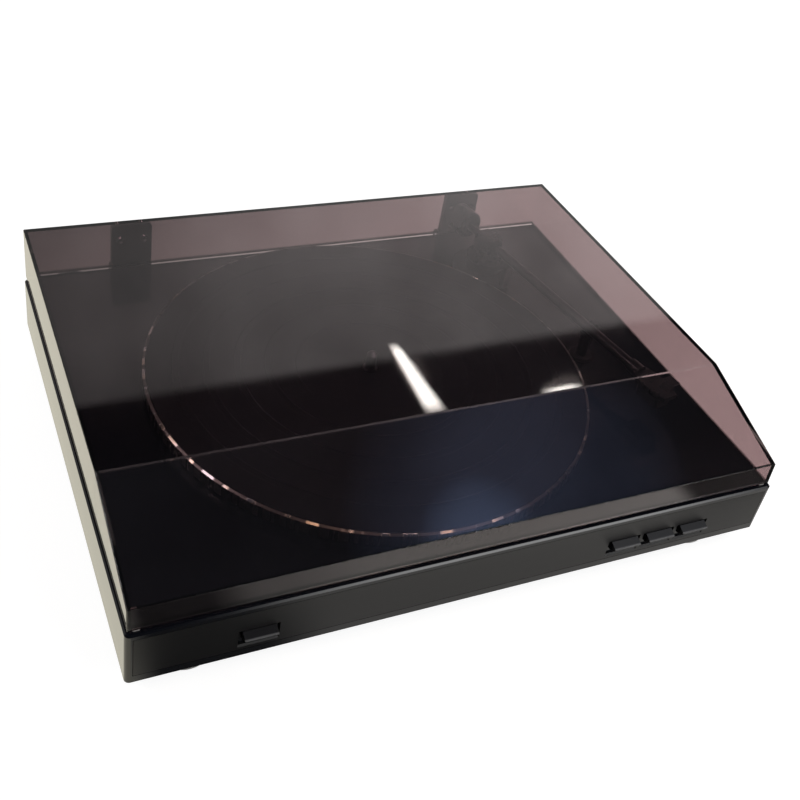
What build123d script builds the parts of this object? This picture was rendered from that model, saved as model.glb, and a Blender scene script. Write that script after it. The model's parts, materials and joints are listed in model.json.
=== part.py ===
from build123d import *
import os
from math import acos, cos, degrees, hypot, pi, radians, sin, tan

# Automatic belt drive record player with a hinged smoked dust cover.
# Millimetres, +Z up. The front faces -Y and +X is on the right of a person in front of it.
# The origin is on the table, under the middle of the player without its mains lead.

# Cabinet
cabinet_width = 420.0
cabinet_depth = 322.0
cabinet_height = 38.0
cabinet_wall_thickness = 2.6
cabinet_front_wall_thickness = 5.0
cabinet_corner_radius = 3.0
cabinet_top_chamfer = 1.0
deck_thickness = 3.0
deck_rib_thickness = 2.0
deck_rib_depth = 6.0
deck_rib_from_front = 34.0
cover_boss_radius = 4.0
cover_boss_pilot_radius = 1.3
cover_boss_pilot_depth = 12.0
cover_boss_side_inset = 14.0
cover_boss_end_inset = 48.0
cover_boss_middle_inset = 16.0

# Bottom cover and feet
bottom_thickness = 2.5
bottom_gap = 0.4
vent_length = 24.0
vent_width = 3.0
vent_pitch_x = 32.0
vent_pitch_y = 9.0
vent_columns = 5
vent_rows = 4
vent_from_right = 150.0
foot_height = 15.0
foot_top_radius = 17.0
foot_flange_height = 4.0
foot_waist_radius = 14.0
foot_sole_radius = 17.0
foot_sole_height = 4.0
foot_pad_radius = 14.5
foot_pad_height = 1.5
foot_pad_sunk_depth = 0.7
foot_from_side = 38.0
foot_inset = 26.0
foot_screw_radius = 1.7
foot_screw_head_radius = 3.2
foot_screw_head_height = 2.0
foot_screw_head_from_floor = 4.0
foot_screw_past_cover = 3.0
foot_nut_radius = 3.4
screw_hole_clearance = 0.2
cover_screw_radius = 1.25
cover_screw_length = 10.0
cover_screw_head_radius = 3.0
cover_screw_head_height = 1.8

# Front panel and keys
panel_side_margin = 4.0
panel_bottom_margin = 5.0
panel_top_margin = 3.5
panel_thickness = 2.0
panel_gap = 0.3
key_width = 19.2
key_height = 6.4
key_slope_height = 2.2
key_proud_length = 5.0
key_top_above_base = 19.8
key_travel = 2.5
key_clearance = 0.35
key_opening_above = 0.8
key_opening_side = 2.2
key_sill_height = 3.4
key_sill_chamfer = 1.0
key_lip_thickness = 1.1
key_edge_radius = 0.4
key_flange_thickness = 2.0
key_flange_overlap_width = 2.0
key_flange_gap = 0.15
key_stem_width = 8.0
key_stem_height = 4.0
key_stem_length = 5.0
speed_key_from_left = 72.5
right_keys_from_right = 83.8
right_key_pitch = 26.0
switch_gap = 0.3
switch_size = 6.0
switch_depth = 4.0
switch_board_height = 14.0
switch_board_thickness = 1.6
switch_board_margin = 8.0
switch_post_width = 5.0

# Dust cover
lid_side_inset = 1.4
lid_front_inset = 2.6
lid_rear_overhang = 1.6
lid_gap = 1.2
lid_height = 38.8
lid_lip_height = 15.6
lid_lip_lean_depth = 0.8
lid_crease_from_front = 80.0
lid_wall_thickness = 2.6
lid_edge_radius = 0.8
lid_pad_length = 4.5
lid_pad_width = 2.2
lid_pad_from_side = 5.0
lid_pad_gap = 0.05

# Hinges
hinge_from_side = 76.0
hinge_width = 29.0
hinge_axis_behind = 6.5
hinge_axis_below_deck = 5.0
knuckle_radius = 5.5
knuckle_width = 13.0
knuckle_side_gap = 0.4
hinge_pin_radius = 1.5
running_clearance = 0.05
seat_clearance = 0.02
hinge_plate_gap = 0.2
hinge_plate_thickness = 4.0
hinge_plate_from_lid_top = 5.0
hinge_plate_corner_radius = 3.0
hinge_screw_radius = 1.3
hinge_screw_spacing = 17.0
hinge_screw_above_lid_edge = 22.0
hinge_screw_head_radius = 2.8
hinge_screw_head_height = 1.6
hinge_boss_radius = 3.5
hinge_boss_height = 3.0
hinge_boss_floor_thickness = 1.0
bracket_thickness = 2.5
bracket_drop_height = 20.0
bracket_screw_drop_height = 14.0

# Platter and its bearing
spindle_from_arm = 143.0
spindle_from_front = 161.0
platter_radius = 149.2
platter_rim_above_deck = 9.5
platter_deck_gap = 1.2
platter_web_thickness = 2.5
platter_skirt_thickness = 3.5
platter_rim_chamfer = 1.6
platter_mat_recess_depth = 1.5
platter_hub_radius = 17.0
finger_hole_radius = 11.0
finger_hole_circle_radius = 60.0
drive_ring_radius = 92.5
drive_ring_wall_thickness = 3.0
drive_ring_deck_gap = 1.5
mat_thickness = 2.5
mat_edge_gap = 0.4
mat_rim_width = 2.0
mat_label_radius = 50.0
mat_groove_depth = 0.5
mat_groove_width = 5.0
mat_groove_radii = (66.0, 86.0, 106.0, 126.0)
spindle_radius = 3.58
spindle_seat_radius = 5.0
spindle_above_mat = 13.5
spindle_nose_height = 3.0
spindle_nose_radius = 1.4
spindle_collar_radius = 9.0
spindle_collar_height = 1.5
bush_radius = 7.0
bush_flange_radius = 14.0
bush_flange_height = 2.5
bush_length = 27.0
bush_running_gap = 0.06
thrust_cap_radius = 9.0
thrust_cap_floor_thickness = 2.5
thrust_cap_overlap_length = 4.0
end_float_gap = 0.3

# Motor and belt
motor_from_drive_ring = 25.5
motor_angle = 140.0
motor_radius = 18.0
motor_height = 22.0
motor_flange_radius = 25.0
motor_flange_thickness = 2.0
motor_shaft_radius = 1.2
motor_screw_circle_radius = 21.5
motor_screw_radius = 1.3
motor_screw_head_radius = 2.6
motor_screw_head_height = 1.6
motor_hole_radius = 12.0
pulley_radius = 5.0
pulley_flange_width = 1.5
pulley_flange_height = 1.0
pulley_deck_gap = 0.6
belt_height = 3.0
belt_thickness = 0.7
belt_gap = 0.3

# Tonearm
arm_from_right = 78.0
arm_from_rear = 53.0
arm_rest_angle = 10.0
arm_swing = 44.0
arm_length = 195.0
arm_height_above_deck = 24.5
arm_tube_radius = 3.5
arm_tube_bore_radius = 2.7
arm_tube_into_headshell = 2.0
arm_block_length = 18.0
arm_block_width = 13.0
arm_block_height = 11.0
arm_stub_radius = 3.0
arm_stub_length = 20.0
counterweight_radius = 11.0
counterweight_length = 19.0
counterweight_offset = 15.0
counterweight_chamfer = 1.2
counterweight_groove = 0.8
pivot_pin_radius = 1.2
pivot_side_gap = 0.5
yoke_wall_thickness = 3.0
yoke_disc_radius = 14.0
yoke_disc_height = 3.5
yoke_depth = 10.0
yoke_above_pivot = 5.0
yoke_shaft_radius = 3.0
yoke_shaft_length = 30.0
arm_base_radius = 24.0
arm_base_height = 2.5
arm_turret_radius = 15.0
arm_turret_height = 10.0
arm_bush_radius = 5.0
arm_bush_length = 22.0
headshell_length = 31.0
headshell_width = 17.0
headshell_thickness = 3.2
headshell_nose_width = 12.0
headshell_socket_radius = 4.8
headshell_socket_length = 10.0
headshell_past_stylus = 8.0
finger_lift_length = 9.0
finger_lift_width = 8.0
finger_lift_thickness = 1.0
cartridge_length = 20.0
cartridge_width = 15.0
cartridge_height = 8.0
cartridge_chamfer = 1.5
stylus_body_length = 13.0
stylus_body_width = 9.0
stylus_body_height = 2.0
cantilever_radius = 0.35
stylus_above_mat = 2.3
arm_rest_from_pivot = 120.0
arm_rest_post_radius = 4.0
arm_rest_foot_radius = 9.0
arm_rest_foot_height = 2.0
arm_rest_length = 7.0
arm_rest_shelf_thickness = 2.5
arm_rest_guard_thickness = 3.0
arm_rest_gap = 0.3
lifter_radius = 27.0
lifter_width = 5.0
lifter_thickness = 2.5
lifter_outer_angle = 6.0
lifter_inner_angle = 3.0
lifter_post_angle = 5.0
lifter_post_radius = 2.0
lifter_post_length = 34.0
lifter_travel = 0.6
lifter_boss_radius = 6.0

# Boards, transformer and sockets
board_length = 110.0
board_width = 62.0
board_thickness = 1.6
board_post_height = 5.0
board_post_radius = 3.0
board_post_inset = 6.0
board_from_right = 114.0
board_from_front = 84.0
capacitor_radius = 5.0
capacitor_height = 13.0
capacitor_pitch = 16.0
heat_sink_length = 30.0
heat_sink_width = 8.0
heat_sink_height = 18.0
transformer_from_right = 170.0
transformer_from_rear = 40.0
transformer_core_length = 46.0
transformer_core_width = 16.0
transformer_core_height = 25.0
transformer_coil_length = 30.0
transformer_coil_width = 30.0
transformer_coil_height = 18.0
transformer_foot_length = 62.0
transformer_foot_thickness = 1.5
socket_plate_from_right = 140.0
socket_plate_width = 44.0
socket_plate_height = 18.0
socket_plate_thickness = 1.5
socket_height_in_wall = 16.0
socket_pitch = 16.0
socket_radius = 4.2
socket_bore_radius = 1.7
socket_length = 9.0
socket_collar_radius = 6.0
socket_collar_length = 1.5
earth_post_x = 16.0
earth_post_radius = 1.5
earth_nut_radius = 3.5
earth_nut_length = 5.0

# Mains lead
lead_radius = 2.3
lead_floor_gap = 0.1
gland_from_side = 28.0
gland_height_in_wall = 10.5
gland_flange_radius = 7.0
gland_flange_thickness = 2.0
gland_neck_radius = 5.0
gland_root_radius = 5.0
gland_tip_radius = 3.2
gland_length = 21.0
hank_strand_gap = 0.5
hank_turns = 2
hank_inner_radius = 14.0
hank_run_length = 90.0
hank_wall_gap = 3.4
hank_from_side = 130.0
hank_end_length = 27.0
hank_end_radius = 25.0
hank_end_angle = 45.0
hank_tip_length = 5.0
tie_thickness = 0.8
tie_width = 6.0
tie_gap = 0.3
plug_length = 34.0
plug_width = 27.0
plug_neck_width = 12.0
plug_neck_height = 10.0
plug_edge_radius = 1.5
plug_pin_radius = 2.0
plug_pin_length = 19.0
plug_pin_spacing = 19.0

# Levels and lines that the pieces share
overall_depth = key_proud_length + cabinet_depth + hinge_axis_behind + knuckle_radius
front_y = key_proud_length - overall_depth / 2
rear_y = front_y + cabinet_depth
middle_y = (front_y + rear_y) / 2
left_x = -cabinet_width / 2
right_x = cabinet_width / 2
base_z = foot_height
deck_z = base_z + cabinet_height
deck_under_z = deck_z - deck_thickness
cover_top_z = base_z + bottom_thickness
inner_width = cabinet_width - 2 * cabinet_wall_thickness
inner_front_y = front_y + cabinet_front_wall_thickness
inner_rear_y = rear_y - cabinet_wall_thickness
inner_depth = inner_rear_y - inner_front_y
inner_middle_y = (inner_front_y + inner_rear_y) / 2

lid_z = deck_z + lid_gap
lid_top_z = lid_z + lid_height
lid_front_y = front_y + lid_front_inset
lid_rear_y = rear_y + lid_rear_overhang
lid_crease_y = front_y + lid_crease_from_front
lid_width = cabinet_width - 2 * lid_side_inset

hinge_x = right_x - hinge_from_side
hinge_y = rear_y + hinge_axis_behind
hinge_z = deck_z - hinge_axis_below_deck
hinge_plate_y = lid_rear_y + hinge_plate_gap
hinge_plate_top_z = lid_top_z - hinge_plate_from_lid_top
hinge_screw_z = lid_z + hinge_screw_above_lid_edge
bracket_screw_z = hinge_z - bracket_screw_drop_height

arm_x = right_x - arm_from_right
arm_y = rear_y - arm_from_rear
arm_z = deck_z + arm_height_above_deck

spindle_x = arm_x - spindle_from_arm
spindle_y = front_y + spindle_from_front
platter_top_z = deck_z + platter_rim_above_deck
platter_bottom_z = deck_z + platter_deck_gap
mat_seat_z = platter_top_z - platter_mat_recess_depth
mat_top_z = mat_seat_z + mat_thickness
web_under_z = mat_seat_z - platter_web_thickness
mat_radius = platter_radius - mat_rim_width
bush_bottom_z = deck_z + bush_flange_height - bush_length
bush_top_z = deck_z + bush_flange_height
collar_z = bush_top_z + end_float_gap
hub_z = collar_z + spindle_collar_height

motor_from_spindle = drive_ring_radius + motor_from_drive_ring
motor_x = spindle_x + motor_from_spindle * cos(radians(motor_angle))
motor_y = spindle_y + motor_from_spindle * sin(radians(motor_angle))
pulley_z = deck_z + pulley_deck_gap
belt_z = pulley_z + pulley_flange_height + belt_gap

arm_direction = Vector(sin(radians(arm_rest_angle)), -cos(radians(arm_rest_angle)), 0)
arm_plane = Plane((arm_x, arm_y, arm_z), x_dir=arm_direction, z_dir=(0, 0, 1))
stylus_z = mat_top_z + stylus_above_mat
arm_turret_z = deck_z + arm_turret_height
yoke_z = arm_turret_z + end_float_gap

speed_key_x = left_x + speed_key_from_left
right_key_x = right_x - right_keys_from_right
key_top_z = base_z + key_top_above_base
key_bottom_z = key_top_z - key_height
panel_bottom_z = base_z + panel_bottom_margin
panel_top_z = deck_z - panel_top_margin
panel_width = cabinet_width - 2 * panel_side_margin
right_keys = ("start_key", "stop_key", "lift_key")
key_places = {"speed_key": speed_key_x}
for number, key_name in enumerate(right_keys):
    key_places[key_name] = right_key_x + (number - 1) * right_key_pitch

foot_x = right_x - foot_from_side
foot_places = {
    "foot_front_left": (-foot_x, front_y + foot_inset),
    "foot_front_right": (foot_x, front_y + foot_inset),
    "foot_rear_left": (-foot_x, rear_y - foot_inset),
    "foot_rear_right": (foot_x, rear_y - foot_inset),
}
boss_x = right_x - cover_boss_side_inset
boss_places = [
    (-boss_x, front_y + cover_boss_end_inset),
    (boss_x, front_y + cover_boss_end_inset),
    (-boss_x, rear_y - cover_boss_end_inset),
    (boss_x, rear_y - cover_boss_end_inset),
    (0, front_y + cover_boss_middle_inset),
    (0, rear_y - cover_boss_middle_inset),
]
hinge_sides = {"left": -hinge_x, "right": hinge_x}
hinge_screw_xs = [
    middle + shift
    for middle in hinge_sides.values()
    for shift in (-hinge_screw_spacing / 2, hinge_screw_spacing / 2)
]
vent_x = right_x - vent_from_right
board_x = right_x - board_from_right
board_y = front_y + board_from_front
transformer_x = right_x - transformer_from_right
socket_plate_x = right_x - socket_plate_from_right
gland_x = left_x + gland_from_side
board_under_z = cover_top_z + board_post_height
board_top_z = board_under_z + board_thickness
socket_z = base_z + socket_height_in_wall
gland_z = base_z + gland_height_in_wall
lifter_post_direction = radians(lifter_post_angle)
lifter_post_x = arm_x + lifter_radius * sin(lifter_post_direction)
lifter_post_y = arm_y - lifter_radius * cos(lifter_post_direction)
lifter_top_z = arm_z - arm_tube_radius - end_float_gap
arm_rest_x = arm_x + arm_rest_from_pivot * arm_direction.X
arm_rest_y = arm_y + arm_rest_from_pivot * arm_direction.Y


def upright(x, y):
    """A plane through a vertical axis, with its X as radius and its Y as height."""
    return Plane((x, y, 0), x_dir=(1, 0, 0), z_dir=(0, -1, 0))


def turn(points, x, y):
    """Turn a closed outline of (radius, height) points about the vertical line at x, y."""
    with BuildSketch(upright(x, y)) as outline:
        with BuildLine():
            Polyline(*points, close=True)
        make_face()
    revolve(outline.sketch, axis=Axis((x, y, 0), (0, 0, 1)))


def facing_back(y):
    """A plane at depth y whose normal points backwards, with X to the left of the picture's right."""
    return Plane((0, y, 0), x_dir=(-1, 0, 0), z_dir=(0, 1, 0))


def keep(piece, label):
    piece.part.label = label
    export_step(piece.part, f"parts/{label}.step")


os.makedirs("parts", exist_ok=True)


# Cabinet: a moulded shell, open below, whose top is the deck
with BuildPart() as cabinet:
    with BuildSketch(Plane.XY.offset(base_z)):
        with Locations((0, middle_y)):
            RectangleRounded(cabinet_width, cabinet_depth, cabinet_corner_radius)
    extrude(amount=cabinet_height)
    chamfer(cabinet.faces().sort_by(Axis.Z)[-1].edges(), cabinet_top_chamfer)
    with BuildSketch(Plane.XY.offset(base_z)):
        with Locations((0, inner_middle_y)):
            Rectangle(inner_width, inner_depth)
    extrude(amount=cabinet_height - deck_thickness, mode=Mode.SUBTRACT)
    with BuildSketch(Plane.XY.offset(cover_top_z)):
        with Locations(*boss_places):
            Circle(cover_boss_radius)
    extrude(amount=deck_under_z - cover_top_z)
    with BuildSketch(Plane.XY.offset(deck_under_z - deck_rib_depth)):
        with Locations((0, front_y + deck_rib_from_front), (0, rear_y - deck_rib_from_front)):
            Rectangle(inner_width, deck_rib_thickness)
    extrude(amount=deck_rib_depth)
    with BuildSketch(Plane.XY.offset(cover_top_z)):
        with Locations(*boss_places):
            Circle(cover_boss_pilot_radius)
    extrude(amount=cover_boss_pilot_depth, mode=Mode.SUBTRACT)
    # Pocket for the front panel and a hole for each key
    with BuildSketch(Plane.XZ.offset(-front_y)):
        with Locations((0, (panel_bottom_z + panel_top_z) / 2)):
            Rectangle(panel_width, panel_top_z - panel_bottom_z)
    extrude(amount=-panel_thickness, mode=Mode.SUBTRACT)
    with BuildSketch(Plane.XZ.offset(-front_y)):
        with Locations(*[(x, key_top_z - key_height / 2) for x in key_places.values()]):
            Rectangle(key_width + 2 * key_clearance, key_height + 2 * key_clearance)
    extrude(amount=-cabinet_front_wall_thickness, mode=Mode.SUBTRACT)
    # Holes in the deck for the bearing, the pulley, the arm and its lifter
    with BuildSketch(Plane.XY.offset(deck_under_z)):
        with Locations((spindle_x, spindle_y)):
            Circle(bush_radius + seat_clearance)
        with Locations((motor_x, motor_y)):
            Circle(motor_hole_radius)
        with Locations((arm_x, arm_y)):
            Circle(arm_bush_radius + seat_clearance)
        with Locations((lifter_post_x, lifter_post_y)):
            Circle(lifter_post_radius + running_clearance)
    extrude(amount=deck_thickness, mode=Mode.SUBTRACT)
    # Holes in the rear wall for the hinge screws, the sockets and the mains lead
    with BuildSketch(Plane.XZ.offset(-inner_rear_y)):
        with Locations(*[(x, bracket_screw_z) for x in hinge_screw_xs]):
            Circle(hinge_screw_radius + seat_clearance)
        with GridLocations(socket_pitch, 1, 2, 1):
            with Locations((socket_plate_x - earth_post_x / 2, socket_z)):
                Circle(socket_radius + seat_clearance)
        with Locations((socket_plate_x + earth_post_x, socket_z)):
            Circle(earth_post_radius + seat_clearance)
        with Locations((gland_x, gland_z)):
            Circle(gland_neck_radius + seat_clearance)
    extrude(amount=-cabinet_wall_thickness, mode=Mode.SUBTRACT)
    # Holes for the motor screws
    with BuildSketch(Plane.XY.offset(deck_under_z)):
        with Locations((motor_x, motor_y)):
            with PolarLocations(motor_screw_circle_radius, 3):
                Circle(motor_screw_radius + seat_clearance)
    extrude(amount=deck_thickness, mode=Mode.SUBTRACT)
keep(cabinet, "cabinet")

# Bottom cover with its vents and screw holes
with BuildPart() as bottom_cover:
    with BuildSketch(Plane.XY.offset(base_z)):
        with Locations((0, inner_middle_y)):
            Rectangle(inner_width - 2 * bottom_gap, inner_depth - 2 * bottom_gap)
        with Locations((vent_x, inner_middle_y)):
            with GridLocations(vent_pitch_x, vent_pitch_y, vent_columns, vent_rows):
                SlotOverall(vent_length, vent_width, mode=Mode.SUBTRACT)
        with Locations(*boss_places):
            Circle(cover_screw_radius + screw_hole_clearance, mode=Mode.SUBTRACT)
        with Locations(*foot_places.values()):
            Circle(foot_screw_radius + screw_hole_clearance, mode=Mode.SUBTRACT)
    extrude(amount=bottom_thickness)
keep(bottom_cover, "bottom_cover")

with BuildPart() as bottom_cover_screws:
    with BuildSketch(Plane.XY.offset(base_z)):
        with Locations(*boss_places):
            Circle(cover_screw_head_radius)
    extrude(amount=-cover_screw_head_height)
    fillet(bottom_cover_screws.edges().group_by(Axis.Z)[0], cover_screw_head_height / 2)
    with BuildSketch(Plane.XY.offset(base_z)):
        with Locations(*boss_places):
            Circle(cover_screw_radius)
    extrude(amount=cover_screw_length)
keep(bottom_cover_screws, "bottom_cover_screws")

# Feet, with a screw up through each into the bottom cover and a soft pad below
foot_bore = foot_screw_radius + screw_hole_clearance
foot_counterbore = foot_screw_head_radius + screw_hole_clearance
foot_head_top = foot_screw_head_from_floor + foot_screw_head_height
foot_seat = foot_pad_height - foot_pad_sunk_depth
for foot_name, (x, y) in foot_places.items():
    with BuildPart() as foot:
        turn(
            [
                (foot_bore, base_z),
                (foot_top_radius, base_z),
                (foot_top_radius, base_z - foot_flange_height),
                (foot_waist_radius, base_z - foot_flange_height - 1),
                (foot_waist_radius, foot_seat + foot_sole_height),
                (foot_sole_radius, foot_seat + foot_sole_height - 1),
                (foot_sole_radius, foot_seat),
                (foot_pad_radius, foot_seat),
                (foot_pad_radius, foot_pad_height),
                (foot_counterbore, foot_pad_height),
                (foot_counterbore, foot_head_top),
                (foot_bore, foot_head_top),
            ],
            x,
            y,
        )
    keep(foot, foot_name)

with BuildPart() as foot_pads:
    with BuildSketch():
        with Locations(*foot_places.values()):
            Circle(foot_pad_radius - seat_clearance)
            Circle(foot_counterbore, mode=Mode.SUBTRACT)
    extrude(amount=foot_pad_height)
    fillet(foot_pads.edges().group_by(Axis.Z)[0].filter_by(GeomType.CIRCLE), foot_pad_sunk_depth / 2)
keep(foot_pads, "foot_pads")

with BuildPart() as foot_screws:
    with BuildSketch(Plane.XY.offset(foot_screw_head_from_floor)):
        with Locations(*foot_places.values()):
            Circle(foot_screw_head_radius)
    extrude(amount=foot_screw_head_height)
    with BuildSketch(Plane.XY.offset(foot_head_top)):
        with Locations(*foot_places.values()):
            Circle(foot_screw_radius)
    extrude(amount=cover_top_z + foot_screw_past_cover - foot_head_top)
    with BuildSketch(Plane.XY.offset(cover_top_z)):
        with Locations(*foot_places.values()):
            RegularPolygon(foot_nut_radius, 6)
    extrude(amount=foot_screw_past_cover - 1)
keep(foot_screws, "foot_screws")

# Front panel, with an opening round each key and a chamfered sill below it
with BuildPart() as front_panel:
    with BuildSketch(Plane.XZ.offset(-front_y)):
        with Locations((0, (panel_bottom_z + panel_top_z) / 2)):
            Rectangle(panel_width - 2 * panel_gap, panel_top_z - panel_bottom_z - 2 * panel_gap)
    extrude(amount=-panel_thickness)
    opening_bottom = panel_bottom_z + key_sill_height
    opening_top = key_top_z + key_opening_above
    with BuildSketch(Plane.XZ.offset(-front_y)):
        with Locations(*[(x, (opening_bottom + opening_top) / 2) for x in key_places.values()]):
            Rectangle(key_width + 2 * key_opening_side, opening_top - opening_bottom)
    extrude(amount=-panel_thickness, mode=Mode.SUBTRACT)
    sill_edges = (
        front_panel.edges()
        .filter_by(Axis.X)
        .filter_by(lambda edge: abs(edge.center().Z - opening_bottom) < panel_gap)
        .filter_by(lambda edge: abs(edge.center().Y - front_y) < panel_gap)
    )
    chamfer(sill_edges, key_sill_chamfer)
keep(front_panel, "front_panel")

# Keys: a sloping wedge in front, a stop flange behind the wall and a stem to the switch
flange_y = inner_front_y + key_flange_gap
key_flange_width = key_width + 2 * key_flange_overlap_width
key_flange_height = key_height + 2 * key_flange_overlap_width
stem_y = flange_y + key_flange_thickness
for key_name, x in key_places.items():
    with BuildPart() as key:
        with BuildSketch(Plane.YZ.offset(x - key_width / 2)):
            with BuildLine():
                Polyline(
                    (front_y - key_proud_length, key_top_z - key_slope_height - key_lip_thickness),
                    (front_y - key_proud_length, key_top_z - key_slope_height),
                    (front_y, key_top_z),
                    (flange_y, key_top_z),
                    (flange_y, key_bottom_z),
                    (front_y, key_bottom_z),
                    close=True,
                )
            make_face()
        extrude(amount=key_width)
        fillet(
            key.edges().filter_by(lambda edge: edge.center().Y < front_y - key_proud_length / 2 - 1),
            key_edge_radius,
        )
        with BuildSketch(Plane.XZ.offset(-flange_y)):
            with Locations((x, key_top_z - key_height / 2)):
                Rectangle(key_flange_width, key_flange_height)
        extrude(amount=-key_flange_thickness)
        with BuildSketch(Plane.XZ.offset(-stem_y)):
            with Locations((x, key_top_z - key_height / 2)):
                Rectangle(key_stem_width, key_stem_height)
        extrude(amount=-key_stem_length)
    keep(key, key_name)

# Switch boards behind the keys, each standing on posts from the bottom cover
switch_y = stem_y + key_stem_length + key_travel + switch_gap
switch_groups = {
    "speed_switch_board": [key_places["speed_key"]],
    "function_switch_board": [key_places[name] for name in right_keys],
}
for board_name, places in switch_groups.items():
    board_middle = sum(places) / len(places)
    board_span = places[-1] - places[0] + key_width + 2 * switch_board_margin
    post_shift = board_span / 2 - switch_post_width / 2
    with BuildPart() as switch_board:
        with BuildSketch(Plane.XZ.offset(-switch_y)):
            with Locations(*[(x, key_top_z - key_height / 2) for x in places]):
                Rectangle(switch_size, switch_size)
        extrude(amount=-switch_depth)
        with BuildSketch(Plane.XZ.offset(-switch_y - switch_depth)):
            with Locations((board_middle, key_top_z - key_height / 2)):
                Rectangle(board_span, switch_board_height)
            post_top = key_top_z - key_height / 2
            with Locations(
                (board_middle - post_shift, (cover_top_z + post_top) / 2),
                (board_middle + post_shift, (cover_top_z + post_top) / 2),
            ):
                Rectangle(switch_post_width, post_top - cover_top_z)
        extrude(amount=-switch_board_thickness)
    keep(switch_board, board_name)

# Dust cover: one folded profile across the whole width, hollowed from below
lip_top_y = lid_front_y + lid_lip_lean_depth
lip_top_z = lid_z + lid_lip_height
hollow_drop = 2 * lid_wall_thickness
hollow_front_y = lid_front_y - lid_lip_lean_depth * hollow_drop / lid_lip_height
with BuildPart() as dust_cover:
    with BuildSketch(Plane.YZ.offset(-lid_width / 2)):
        with BuildLine():
            Polyline(
                (lid_front_y, lid_z),
                (lip_top_y, lip_top_z),
                (lid_crease_y, lid_top_z),
                (lid_rear_y, lid_top_z),
                (lid_rear_y, lid_z),
                close=True,
            )
        make_face()
    extrude(amount=lid_width)
    fillet(
        dust_cover.edges().filter_by(lambda edge: edge.center().Z > lid_z + lid_edge_radius),
        lid_edge_radius,
    )
    with BuildSketch(Plane.YZ.offset(-lid_width / 2 + lid_wall_thickness)):
        with BuildLine():
            Polyline(
                (hollow_front_y, lid_z - hollow_drop),
                (lip_top_y, lip_top_z),
                (lid_crease_y, lid_top_z),
                (lid_rear_y, lid_top_z),
                (lid_rear_y, lid_z - hollow_drop),
                close=True,
            )
        make_face()
        offset(amount=-lid_wall_thickness, kind=Kind.INTERSECTION)
    extrude(amount=lid_width - 2 * lid_wall_thickness, mode=Mode.SUBTRACT)
    with BuildSketch(Plane.XZ.offset(lid_wall_thickness - lid_rear_y)):
        with Locations(*[(x, hinge_screw_z) for x in hinge_screw_xs]):
            Circle(hinge_boss_radius)
    extrude(amount=hinge_boss_height)
    with BuildSketch(Plane.XZ.offset(-lid_rear_y)):
        with Locations(*[(x, hinge_screw_z) for x in hinge_screw_xs]):
            Circle(hinge_screw_radius + seat_clearance)
    extrude(amount=lid_wall_thickness + hinge_boss_height - hinge_boss_floor_thickness, mode=Mode.SUBTRACT)
keep(dust_cover, "dust_cover")

# Soft pads under the front corners of the cover
with BuildPart() as lid_pads:
    pad_x = lid_width / 2 - lid_pad_from_side
    pad_y = lid_front_y + lid_wall_thickness / 2
    with BuildSketch(Plane.XY.offset(lid_z)):
        with Locations((-pad_x, pad_y), (pad_x, pad_y)):
            SlotOverall(lid_pad_length, lid_pad_width)
    extrude(amount=lid_pad_gap - lid_gap)
keep(lid_pads, "lid_pads")

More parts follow.
